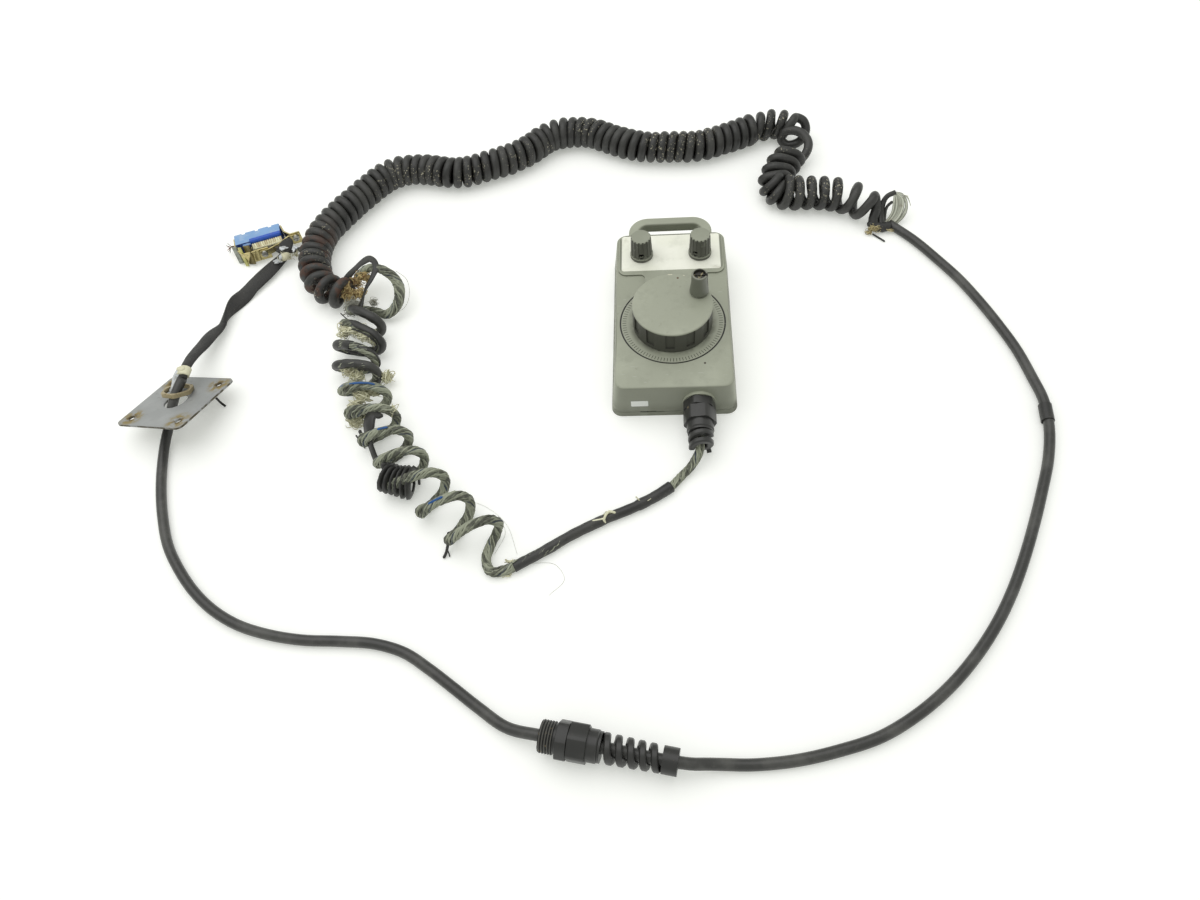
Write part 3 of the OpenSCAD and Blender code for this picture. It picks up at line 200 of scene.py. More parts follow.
class Skin:
    """Gathers grids of points, and makes one closed mesh of them with a UV map. U is the distance
    along a piece, and V the way round it plus a whole number that tells strands apart."""

    def __init__(self):
        self.points, self.faces, self.uvs, self.count = [], [], [], 0

    def add(self, grid, closed=False, tag=0):
        """A grid whose rows are closed rings; its two ends are capped unless it is closed too."""
        n, m = grid.shape[:2]
        along = lengths(grid.mean(axis=1))
        i = np.arange(n if closed else n - 1)[:, None]
        j = np.arange(m)[None, :]
        after, beside = (i + 1) % n, (j + 1) % m
        quads = np.stack(np.broadcast_arrays(i * m + j, after * m + j, after * m + beside,
                                             i * m + beside), axis=-1)
        far = np.append(along, along[-1] + (along[1] - along[0]))
        u = np.stack(np.broadcast_arrays(far[i], far[i + 1], far[i + 1], far[i]), axis=-1)
        v = np.stack(np.broadcast_arrays(j, j, j + 1, j + 1), axis=-1) / m + tag
        self.faces += (quads.reshape(-1, 4) + self.count).tolist()
        self.uvs.append(np.stack([u + 0 * v, v + 0 * u], axis=-1).reshape(-1, 2))
        if not closed:
            for row in (0, n - 1):
                ring = row * m + np.arange(m) + self.count
                self.faces.append(ring.tolist())
                self.uvs.append(np.stack([np.full(m, along[row]), tag + (np.arange(m) + 0.5) / m],
                                         axis=1))
        self.points.append(grid.reshape(-1, 3))
        self.count += n * m
        return self

    def make(self, name, material, slot, body=HOME):
        """The mesh, riding on a body, its faces turned outwards."""
        mesh = bpy.data.meshes.new(name)
        mesh.from_pydata(np.concatenate(self.points).tolist(), [], self.faces)
        layer = mesh.uv_layers.new(name="along")
        layer.data.foreach_set("uv", np.concatenate(self.uvs).ravel())
        whole = bmesh.new()
        whole.from_mesh(mesh)
        bmesh.ops.recalc_face_normals(whole, faces=whole.faces)
        whole.to_mesh(mesh)
        whole.free()
        mesh.polygons.foreach_set("use_smooth", [True] * len(mesh.polygons))
        piece = bpy.data.objects.new(name, mesh)
        bpy.context.scene.collection.objects.link(piece)
        mesh.materials.append(material)
        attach(piece, body)
        return piece


def tangle(skin, centre, reach, count, radius, seed, curl=2.0, tag=0):
    """Teased fibres round a centre: each line is a sum of three sines of its own in each direction,
    scaled to the given half sizes, and standing out a little more towards its far end."""
    chance = np.random.RandomState(seed)
    t = np.linspace(0, 1, 22)[:, None]
    for k in range(count):
        phase = chance.uniform(0, 2 * math.pi, (3, 3))
        pace = chance.uniform(0.4, curl, (3, 3))
        heft = chance.uniform(0.3, 1.0, (3, 3))
        waves = sum(heft[q] * np.sin(2 * math.pi * pace[q] * t + phase[q]) for q in range(3))
        line = np.asarray(centre) * MM + waves / 2.1 * np.asarray(reach) * MM * (0.85 + 0.3 * t)
        line = raised(line, radius * MM)
        skin.add(tube(line, radius * MM * (1 - 0.5 * t[:, 0]), 4), tag=tag + k)
    return skin


def tuft(skin, centre, reach, lump, teased, k):
    """A lump with a tangle round it. Lump gives its share of the reach, seed and roughness, and
    teased gives the tangle's share of the reach, count, radius, seed and curl."""
    reach = np.array(reach)
    skin.add(blob(centre, reach * lump[0], *lump[1:]), tag=k * 60)
    tangle(skin, centre, reach * teased[0], *teased[1:], tag=k * 60 + 1)


def hair(skin, points, radius, tag):
    """One fibre or wire along a smooth line through the points, in millimetres."""
    return skin.add(tube(smooth_line(points, 1.2 * MM), radius * MM, 5), tag=tag)


# ---- Finishes ----

class Finish:
    """A node material, built up in layers over one surface shader."""

    def __init__(self, name, colour, rough, metal=0.0):
        self.material = bpy.data.materials.new(name)
        self.material.use_nodes = True
        self.tree = self.material.node_tree
        self.shader = self.tree.nodes["Principled BSDF"]
        self.shader.inputs["Base Color"].default_value = (*colour, 1.0)
        self.shader.inputs["Roughness"].default_value = rough
        self.shader.inputs["Metallic"].default_value = metal
        self.where = self.node("TexCoord")
        self.relief = None

    def node(self, kind, **values):
        """A node of a kind, with some of its properties or input sockets set."""
        made = self.tree.nodes.new("ShaderNode" + kind)
        for key, value in values.items():
            if hasattr(made, key):
                setattr(made, key, value)
            else:
                self.plug(made.inputs[key.replace("_", " ")], value)
        return made

    def plug(self, socket, value):
        """Sets a socket to a number, or links another node's output to it."""
        if isinstance(value, bpy.types.NodeSocket):
            self.tree.links.new(value, socket)
        else:
            socket.default_value = value

    def place(self, scale, source="Object"):
        """Object coordinates, or those of the piece's own UV map, scaled."""
        return self.node("Mapping", Vector=self.where.outputs[source], Scale=scale).outputs[0]

    def noise(self, scale, detail=3.0, rough=0.55, vector=None):
        """Cloudy noise between 0 and 1, its scale in clouds to the metre."""
        vector = vector or self.where.outputs["Object"]
        return self.node("TexNoise", Vector=vector, Scale=scale, Detail=detail,
                         Roughness=rough).outputs["Fac"]

    def span(self, value, low, high, to_low=0.0, to_high=1.0):
        """A value carried from one range to another, and kept inside it."""
        made = self.node("MapRange", interpolation_type="SMOOTHSTEP", Value=value)
        for key, number in zip(("From Min", "From Max", "To Min", "To Max"),
                               (low, high, to_low, to_high)):
            made.inputs[key].default_value = number
        return made.outputs["Result"]

    def math(self, kind, a, b=0.0):
        """One operation on one or two values."""
        made = self.node("Math", operation=kind)
        for socket, value in zip(made.inputs, (a, b)):
            self.plug(socket, value)
        return made.outputs[0]

    def both(self, *masks):
        """Product of masks."""
        total = masks[0]
        for mask in masks[1:]:
            total = self.math("MULTIPLY", total, mask)
        return total

    def stripe(self, value, centre, inner, outer, much=1.0):
        """As much as is given within inner of a centre, falling to 0 at outer."""
        away = self.math("ABSOLUTE", self.math("SUBTRACT", value, centre))
        return self.span(away, inner, outer, much, 0)

    def part(self, axis, vector=None):
        """One coordinate of a point."""
        return self.node("SeparateXYZ", Vector=vector or self.where.outputs["Object"]).outputs[axis]

    def near(self, centre, radius, soft=0.5):
        """1 inside a ball, falling to 0 over the outer part of its radius."""
        away = self.node("VectorMath", operation="DISTANCE")
        self.plug(away.inputs[0], self.where.outputs["Object"])
        away.inputs[1].default_value = centre
        return self.span(away.outputs["Value"], radius * (1 - soft), radius, 1, 0)

    def facing(self, axis, low, high):
        """1 where the surface's own normal along an axis is over high, 0 where it is under low."""
        return self.span(self.part(axis, self.where.outputs["Normal"]), low, high)

    def upright(self, low, high):
        """1 on walls and 0 on level faces that look up."""
        return self.math("SUBTRACT", 1.0, self.facing("Z", low, high))

    def round_axis(self, x, y):
        """X and Y from an upright axis, and the distance from it."""
        x = self.math("SUBTRACT", self.part("X"), x)
        y = self.math("SUBTRACT", self.part("Y"), y)
        square = self.math("ADD", self.math("MULTIPLY", x, x), self.math("MULTIPLY", y, y))
        return x, y, self.math("SQRT", square)

    def strand(self):
        """A chance number for each strand, from the whole part of V."""
        whole = self.math("FLOOR", self.part("Y", self.where.outputs["UV"]))
        return self.node("TexWhiteNoise", noise_dimensions="1D", W=whole).outputs["Value"]

    def layer(self, mask, colour=None, rough=None, metal=None):
        """A coat of another colour, roughness or metal where the mask is 1."""
        for key, value in (("Base Color", colour), ("Roughness", rough), ("Metallic", metal)):
            if value is None:
                continue
            socket = self.shader.inputs[key]
            kind = "RGBA" if key == "Base Color" else "FLOAT"
            made = self.node("Mix", data_type=kind)
            like = "RGBA" if kind == "RGBA" else "VALUE"
            a, b = [s for s in made.inputs if s.type == like][-2:]
            self.plug(made.inputs[0], mask)
            self.plug(a, socket.links[0].from_socket if socket.is_linked else socket.default_value)
            b.default_value = (*value, 1.0) if kind == "RGBA" else value
            self.plug(socket, [s for s in made.outputs if s.type == like][-1])
        return self

    def cloud(self, noise, span, *coat):
        """A coat that comes and goes with a noise, given by the numbers of its noise and its span."""
        return self.layer(self.span(self.noise(*noise), *span), *coat)

    def bump(self, height, depth):
        """Relief of a given depth in metres, laid over any relief before it."""
        made = self.node("Bump", Height=height, Distance=depth, Strength=1.0)
        if self.relief:
            self.plug(made.inputs["Normal"], self.relief)
        self.relief = made.outputs[0]
        self.plug(self.shader.inputs["Normal"], self.relief)
        return self


def shade(colour, share):
    """A colour with each of its parts multiplied by a share."""
    return tuple(c * share for c in colour)


def moulded(name, colour, rough=0.5, dirt=(0.10, 0.09, 0.07), soil=0.35):
    """Moulded plastic: a fine grain, cloudy worn patches and settled dirt."""
    f = Finish(name, colour, rough)
    pale = tuple(min(c * 1.2 + 0.012, 1) for c in colour)
    f.cloud((28, 5), (0.42, 0.68, 0, 0.55), pale, rough - 0.06)
    f.cloud((65, 6, 0.7), (0.5, 0.72, 0, 0.5), shade(colour, 0.8), rough + 0.1)
    f.cloud((240, 4, 0.7), (0.62, 0.78, 0, soil), dirt, 0.8)
    f.bump(f.noise(2600, 2), GRAIN)
    return f


def metal(name, colour, rough=0.35, stain=(0.10, 0.07, 0.035), soil=0.5):
    """Plated metal: brushed unevenly, spotted with tarnish."""
    f = Finish(name, colour, rough, 1.0)
    f.cloud((120, 5, 0.6), (0.4, 0.7, 0, 0.6), shade(colour, 0.72), rough + 0.15)
    f.cloud((420, 4, 0.7), (0.52, 0.68, 0, soil), stain, 0.75, 0.3)
    f.bump(f.noise(1800, 2), GRAIN)
    return f


# ---- Sizes and colours that a user would change ----

class PulseCordSettings(PropertyGroup):
    """The cord's driving sizes and its colours."""
    cord_d: FloatProperty(name="Cord", description="Diameter of the smooth cord",
                          default=7.5 * MM, unit="LENGTH")
    curl_d: FloatProperty(name="Curl", description="Outer diameter of the curly cord",
                          default=28 * MM, unit="LENGTH")
    turn_pitch: FloatProperty(name="Turn pitch", description="Distance between tight turns",
                              default=8.3 * MM, unit="LENGTH")
    bundle_d: FloatProperty(name="Bundle", description="Diameter of the bare bundle",
                            default=7.2 * MM, unit="LENGTH")
    lay: FloatProperty(name="Lay", description="Length in which the strands go once round",
                       default=32 * MM, unit="LENGTH")
    strands: IntProperty(name="Strands", description="Conductors seen round the bundle",
                         default=14, min=5, max=18)
    curl_cord_d: FloatProperty(name="Curled cord", description="Diameter of the cord in the curls",
                               default=8.1 * MM, unit="LENGTH")
    jacket: FloatVectorProperty(name="Jacket", description="Colour of the cord's jacket",
                                default=(0.020, 0.020, 0.019), subtype="COLOR")
    wires: FloatVectorProperty(name="Wires", description="Colour of the bare conductors",
                               default=(0.085, 0.091, 0.068), subtype="COLOR")


class PulseCaseSettings(PropertyGroup):
    """The case's colours and the dial's marks."""
    paint: FloatVectorProperty(name="Case", description="Colour of the case",
                               default=(0.325, 0.342, 0.268), subtype="COLOR")
    plate: FloatVectorProperty(name="Label plate", description="Colour of the label plate",
                               default=(0.86, 0.87, 0.755), subtype="COLOR")
    dial_r: FloatProperty(name="Dial ring", description="Radius of the ring round the dial",
                          default=40 * MM, unit="LENGTH")
    ticks: IntProperty(name="Dial ticks", description="Marks round the dial", default=100, min=10)


def cord_settings():
    """The scene's own cord settings."""
    return bpy.context.scene.pulse_cord


def case_settings():
    """The scene's own case settings."""
    return bpy.context.scene.pulse_case


# ---- Routes, in millimetres, with heights at the middle of the cord ----

GLAND_X, GLAND_Z = 18.3, 15.0
DIAL_Y = -16.7
# Heights of the smooth cord's middle and of the curly cord's axis where they lie on the floor
CORD_Z, CURL_Z = 3.8, 14


def level(z, *places):
    """Places on the floor plan, all at one height."""
    return [(*place, z) for place in places]


bundle_route = [
    (GLAND_X, -100, GLAND_Z), (GLAND_X, -114, GLAND_Z), (17, -121, 11.5), (11, -130, 5.5),
    (4, -137, CORD_Z), (-4, -146, CORD_Z)]
sheath_route = [
    *level(CORD_Z, (-4, -146), (-14, -153), (-28, -161), (-50, -171), (-73, -183), (-95, -197),
           (-116, -209))]
# Where the loose coil's turns stand out on its right, from turn 0, and on its left, from turn -0.5
right_lobes = [(-124, -179), (-147, -160), (-167, -141), (-185, -122), (-199, -104),
               (-211, -86), (-221, -66), (-233, -44), (-236, -32), (-234, -15), (-237, 4)]
left_lobes = [(-131, -208), (-158, -190), (-181, -168), (-205, -146), (-219, -127),
              (-234, -106), (-249, -82), (-259, -60), (-268, -35), (-271, -14), (-270, 9),
              (-267, 24)]
# The open loop between the loose coil and the curly cord
open_loop = [(-259, 30, 6), (-247, 28, 5), (-238, 23, 7), (-231, 26, 10), (-227, 35, 14),
             (-229, 47, 18), (-235, 54, 21), (-243, 58.5, 23), (-252, 62, 22), (-260, 63, 19),
             (-267, 58, 15)]
curly_route = [
    (-272, 41, 13),
    *level(CURL_Z, (-281, 43), (-291, 47), (-303, 62), (-310, 88), (-307, 117), (-293, 143),
           (-276, 168), (-256, 190), (-228, 194), (-196, 187), (-163, 196), (-133, 211), (-110, 232),
           (-78, 236), (-54, 225), (-30, 213), (0, 209), (30, 209), (60, 220), (80, 229))]
# The kink: where its turns stand out on the left of its way and, half a turn before, on its right
kink_left = [(86, 236, 22), (96.4, 239, 22), (108, 237, 22), (117.9, 231.6, 22)]
kink_right = [(80, 224, 6), (90, 227, 6), (99.7, 228.8, 6), (106, 226, 6)]
kink_fall = [(125, 230, 19), (127.5, 225.5, 13), (124, 219, 8), (117, 216, 5), (110, 216.5, 4.2),
             (105, 220, 8), (107, 221, 14.5), (114, 219, 18), (123, 213.5, 17.5),
             (127.5, 205, 14.5), (125, 196, 10.5), (118, 191, 6), (107, 191, 6)]
second_left = [(119.7, 186.6, 10), (114.4, 176.8, 10), (109.5, 168, 11), (105, 162, 13),
               (97, 158, 18), (101.5, 151.5, 15), (105, 150, 22), (112.5, 147.6, 22),
               (123.2, 146.6, 22), (134.1, 145.5, 22), (145.3, 143.3, 22), (161.5, 136, 22),
               (173.7, 123.9, 22)]
second_right = [(99.3, 190.5, 17), (91.8, 181, 17), (86.5, 169.9, 16), (82.7, 160, 13),
                (83.4, 148.6, 10), (88.8, 139.1, 8), (98.7, 134.4, 6), (109.1, 133, 6),
                (119.5, 133.1, 6), (129.9, 132.1, 6), (139.4, 130.1, 6), (148.2, 126.5, 6),
                (159.9, 119.1, 6)]
curly_end = [(175, 116, 14), (173, 109.5, 7.5), (174, 106.2, 4.8), (178.5, 104.8, 4.2),
             (187, 106, 4.1)]
smooth_route = [
    *level(CORD_Z, (187, 109), (204, 89), (219, 66), (232, 44), (243, 20), (253, -6), (261, -31),
           (266, -56)),
    (269, -80, 4.8), (267, -104, 4.8),
    *level(CORD_Z, (261, -128), (251, -153), (240, -178), (228, -203), (215, -227), (200, -250),
           (183, -271), (164, -290), (142, -307), (117, -321), (92, -329), (68, -334.5), (52, -336.6)),
    (38, -337.5, 3.9), (25, -337.6, 5.2), (14, -338, 7.8), (5, -338.6, 10.4), (-4, -338, 12.2),
    (-45, -330.5, 12.2), (-86, -323, 12.2), (-109, -316.5, 6),
    *level(CORD_Z, (-128, -304), (-146, -291), (-163, -279), (-181, -268), (-201, -262), (-226, -260),
           (-252, -259), (-277, -255), (-300, -248), (-319, -238), (-337, -224), (-353, -207),
           (-367, -188), (-378, -165), (-387, -140)),
    (-393, -116, 4), (-395, -98, 6), (-393, -83, 11.5), (-391, -71, 18), (-388.5, -61, 22),
    (-386, -52, 24)]
sleeve_route = [(-386, -52, 24), (-386, -43, 24.5), (-387, -28, 20), (-386, -8, 12.5),
                (-382, 16, 7.5), (-376, 40, 5.8), (-367, 62, 6), (-356, 80, 6.6),
                (-348, 93, 7), (-343, 101, 7.4)]
# Place of the plug's middle on the floor, and its bearing
PLUG_AT = np.array([-370, 117, 0.2])
PLUG_TURN = math.radians(20)
# Axis of the in-line gland, from its threaded end
INLINE = np.array([(-86, -323, 12.2), (-4, -338, 12.2)])


# ---- Cord finishes ----

def jacket_finish(name="cord_jacket", rust=False, gloss=0.38, painted_sheen=1.0):
    """Black jacket: satin, dull and grey where it is scuffed, with dust. Rust adds brown stains at its
    west end and pale grit all along it. A factor over 1 pales the jacket and its scuffs as a painted sheen."""
    f = Finish(name, shade(cord_settings().jacket, painted_sheen), gloss)
    scuffed = shade((0.052, 0.052, 0.048), painted_sheen)
    f.cloud((38, 5, 0.6), (0.42, 0.68, 0, 0.8), scuffed, gloss + 0.15)
    f.cloud((260, 5, 0.75), (0.55, 0.75, 0, 0.5), (0.10, 0.098, 0.085), 0.75)
    if rust:
        west = f.span(f.part("X"), -0.268, -0.235, 1, 0)
        low = f.span(f.part("Y"), 0.075, 0.13, 1, 0)
        f.layer(f.both(west, low, f.span(f.noise(70, 4, 0.6), 0.5, 0.62, 0, 0.6)),
                (0.105, 0.040, 0.020), 0.7)
        grit = f.both(f.span(f.noise(620, 2, 0.4), 0.63, 0.67), f.span(f.noise(24, 3), 0.50, 0.60))
        f.layer(grit, (0.48, 0.45, 0.34), 0.9)
        f.bump(grit, 0.0003)
    f.bump(f.noise(900, 3), 0.00006)
    return f.material


def wire_finish():
    """Bare conductors: each strand its own shade of grey-green, a few blue or red, and dusty."""
    f = Finish("bare_conductors", cord_settings().wires, 0.5)
    chance = f.strand()
    f.layer(f.span(chance, 0.30, 0.60, 0, 0.95), (0.34, 0.36, 0.27))
    f.layer(f.span(chance, 0.80, 0.84, 0, 0.9), (0.045, 0.047, 0.040))
    f.layer(f.both(f.span(chance, 0.905, 0.915), f.span(chance, 0.955, 0.965, 1, 0)),
            (0.048, 0.062, 0.085))
    f.layer(f.span(chance, 0.965, 0.975), (0.13, 0.045, 0.035))
    f.cloud((150, 4, 0.7), (0.45, 0.68, 0, 0.65), (0.36, 0.38, 0.29), 0.7)
    f.cloud((60, 5, 0.7), (0.48, 0.66, 0, 0.7), (0.060, 0.062, 0.046), 0.75)
    f.bump(f.noise(1500, 3), 0.00008)
    return f.material


def fibre_finish(name="cream_fibre", pale=(0.82, 0.81, 0.61), deep=(0.44, 0.42, 0.27),
                 spot=(0.16, 0.10, 0.05), spots=0.15):
    """Torn filler fibre: each thread its own shade, browned in places."""
    f = Finish(name, pale, 0.85)
    f.layer(f.span(f.strand(), 0.2, 0.9, 0, 0.8), deep)
    f.cloud((170, 4, 0.6), (0.55, 0.66, 0, spots * 2), spot)
    f.bump(f.noise(2200, 2), 0.0001)
    return f.material


# ---- Cords ----

def twisted(line, across, lay, count, spread):
    """Strands wound round a core: each strand's centre turns once every lay length, and its radius
    and angle drift. Spread widens the bundle sideways where its strands have worked loose."""
    skin = Skin()
    along = lengths(line)
    _, side, top = axes_of(line)
    strand_r = across / 2 * min(math.pi / count, 0.36)
    for k in range(count):
        loose = 1 + wander(along, k, 31 * MM, 0.12)
        a = 2 * math.pi * (k / count + along / lay) + wander(along, k + 3, 19 * MM, 0.35)
        out = (across / 2 - strand_r) * loose
        centre = (line + (out * spread * np.cos(a))[:, None] * side
                  + (out * (0.4 + 0.6 * spread) * np.sin(a))[:, None] * top)
        thick = strand_r * (1 + 0.15 * np.sin(k * 2.4))
        skin.add(tube(raised(centre, strand_r), thick, 5), tag=k + 1)
    core = raised(line, across * 0.32)
    return skin.add(tube(core, (across / 2 - strand_r) * 0.96, 8), tag=900)


def two_rails(turn, whole, half):
    """Middle and half gap of two rails at turn numbers. The points of the first rail stand at
    whole turns, and those of the second half a turn before."""
    at = [np.stack([np.interp(turn, np.arange(len(rail)) + shift, [point[k] for point in rail])
                    for k in range(len(rail[0]))], axis=1)
          for rail, shift in ((whole, 0.0), (half, -0.5))]
    return (at[0] + at[1]) / 2, (at[0] - at[1]) / 2


def loose_coil(turn):
    """Points of the loose coil at a turn number: half the gap of its two rails times the cosine of
    the turn, from side to side, and the sine of the turn from floor to top. The left tips sag."""
    centre, reach = two_rails(turn, right_lobes, left_lobes)
    a = 2 * math.pi * turn
    z = 14.6 + 10.6 * np.sin(a) - 2.0 * (1 - np.cos(a)) * (0.5 + 0.5 * np.sin(a))
    start = rise(turn, -0.5, -0.1)
    z = z * start + CORD_Z * (1 - start)
    return np.column_stack([centre + reach * np.cos(a)[:, None], np.maximum(z, CORD_Z)])


# Turns of the loose coil where its strands have worked loose, and by how much
WORKED_LOOSE = ((0.5, 0.25), (1.5, 0.55), (2.5, 0.6), (3.45, 0.2), (4.5, 0.7), (5.4, 0.6),
                (6.35, 0.5), (9.7, 0.5))


class PULSE_OT_bare_bundle(Operator):
    """The bare bundle from the gland, through the sheath, round the loose coil and the open loop"""
    bl_idname = "pulse.bare_bundle"
    bl_label = "Bare bundle"

    def execute(self, context):
        s = cord_settings()
        turns = np.arange(-0.5, 10.51, 0.125)
        coil = loose_coil(turns)
        points = np.concatenate([bundle_route, sheath_route[1:-1], coil, open_loop])
        line = raised(smooth_line(points, 1.7 * MM), s.bundle_d / 2)
        along = lengths(line)
        spread = 1 + 0.06 * np.sin(along / 0.021)
        for turn, much in WORKED_LOOSE:
            tip = loose_coil(np.array([turn]))[0] * MM
            at = along[np.argmin(np.linalg.norm(line - tip, axis=1))]
            spread = spread + much * hump(along, at, 13 * MM)
        spread = spread + 0.35 * hump(along, along[-1] - 55 * MM, 40 * MM)
        across = s.bundle_d * (0.86 + 0.14 * rise(along, 0.10, 0.19))
        piece = twisted(line, across, s.lay, s.strands, spread).make(
            "bare_bundle", wire_finish(), "conductors")
        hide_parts("cord_bundle", "cord_loose_coil", "cord_frayed_loop")
        sheath = split_sheath()
        coil_jackets()
        torn_fibres()
        return {"FINISHED"}


def split_sheath():
    """Black sheath on the bundle: an open ring whose slit wanders, wider where a second sleeve
    overlaps it, and belled out at its torn ends."""
    s = cord_settings()
    line = smooth_line(sheath_route, 0.8 * MM)[:-4]
    along = lengths(line)
    size = 1 + wander(along, 2, 31 * MM, 0.05)
    size = size + 0.10 * rise(along, 29 * MM, 27.5 * MM) + 0.06 * rise(along, 3 * MM, 0)
    size = size + 0.08 * rise(along, along[-1] - 6 * MM, along[-1])
    gap = 0.12 + 0.25 * hump(along, 52 * MM, 6 * MM) + 0.9 * rise(along, along[-1] - 7 * MM, along[-1])
    gap = gap + 1.9 * rise(along, 16 * MM, 3 * MM) + wander(along, 4, 17 * MM, 0.04)
    profile = np.stack([shell_profile(g, 0.16, 16) for g in gap])
    turn = 0.75 + 2.0 * hump(along, 0, 30 * MM) + 0.6 * rise(along, 70 * MM, 40 * MM)
    black = jacket_finish()
    skin = Skin().add(sweep(line, profile, s.cord_d / 2 * size, UP, -turn))
    piece = skin.make("split_sheath", black, "cord_black")
    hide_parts("cord_sheath")
    end = line[-1] / MM
    lip = Skin()
    for way, swing in ((1, 1.6), (-1, -2.2)):
        tip = smooth_line([end + (6, 3.5, 0), end + (1, 0.4, 0.4 * way + 1),
                           end + (-5, -3 + swing, -1.2)], 0.8 * MM)
        width = 2.3 * MM * (1 - 0.75 * rise(lengths(tip), 0.004, 0.013))
        lip.add(sweep(tip, box_profile(1.0, 0.35), width, UP, 0.8 * way))
    lip.make("sheath_lips", black, "cord_black")
    return piece


def coil_jackets():
    """What is left of the black jacket on the loose coil: open shells round some turns, a bunch of
    flattened rings, a loose strap, and the flat ribbon over the open loop."""
    s = cord_settings()
    skin = Skin()
    for start, end, gap, turn, wide in ((6.80, 7.62, 1.7, 0.6, 1.0), (7.52, 8.36, 1.5, -2.0, 1.0),
                                        (8.26, 9.34, 0.5, 2.6, 1.08), (9.62, 10.42, 1.6, 0.2, 1.05)):
        line = smooth_line(loose_coil(np.arange(start, end, 0.0625)), 1.5 * MM)
        along = lengths(line)
        line = raised(line, s.cord_d / 2 * wide)
        torn = rise(along, 9 * MM, 0) + rise(along, along[-1] - 9 * MM, along[-1])
        opening = gap * (1 + wander(along, start, 23 * MM, 0.3)) + 1.8 * torn
        profile = np.stack([shell_profile(g, 0.22, 14) for g in opening])
        size = s.cord_d / 2 * wide * (1 + wander(along, end, 27 * MM, 0.07))
        skin.add(sweep(line, profile, size, None, turn + wander(along, gap, 60 * MM, 0.5)))
    # Six flattened rings of slit jacket pressed together on the third turn
    axis = smooth_line([(-213, -138, 12.5), (-205, -141, 12.5), (-197, -143, 12.2), (-189, -144, 12)],
                       0.35 * MM)
    along = lengths(axis)
    grown = 1 + 0.22 * along / along[-1] + 0.04 * np.sin(along / 0.0025)
    wound, out = helix(axis, 8.0 * MM * grown, 3.9 * MM, 0.3)
    skin.add(sweep(raised(wound, 2 * MM), ring_profile(10, 0.30), 3.5 * MM, out, math.pi / 2 + 0.35))
    # Strap hanging over the left of the fourth and fifth turns
    strap = smooth_line([(-222, -88, 22), (-226.5, -93, 24.5), (-227.5, -100, 22.5), (-229, -106, 15),
                         (-227.5, -112, 7), (-225.5, -117, 2)], 1.0 * MM)
    width = 5.4 * MM * (1 - 0.5 * rise(lengths(strap), 0.012, 0.034))
    skin.add(sweep(strap, box_profile(1.0, 0.22), width, np.array([-0.5, -0.4, 0.75])))
    ribbon = smooth_line([(-259, 17, 14), (-256.4, 28.8, 18.5), (-254, 40.4, 21), (-250, 51, 23),
                          (-247.5, 58, 25.5), (-249.5, 65, 26), (-255.6, 70, 25), (-262.2, 67.4, 23),
                          (-268.6, 61, 21), (-274, 53, 20), (-279, 47, 17)], 1.2 * MM)
    far = lengths(ribbon)
    face = np.array([0.15, -0.75, 0.75])
    skin.add(sweep(ribbon, box_profile(1.0, 0.26), 2.5 * MM * (1 + wander(far, 3, 50 * MM, 0.2)), face,
                   0.35 + 0.8 * np.sin(far / 0.013)))
    skin.make("coil_jackets", jacket_finish("torn_jacket"), "cord_black")


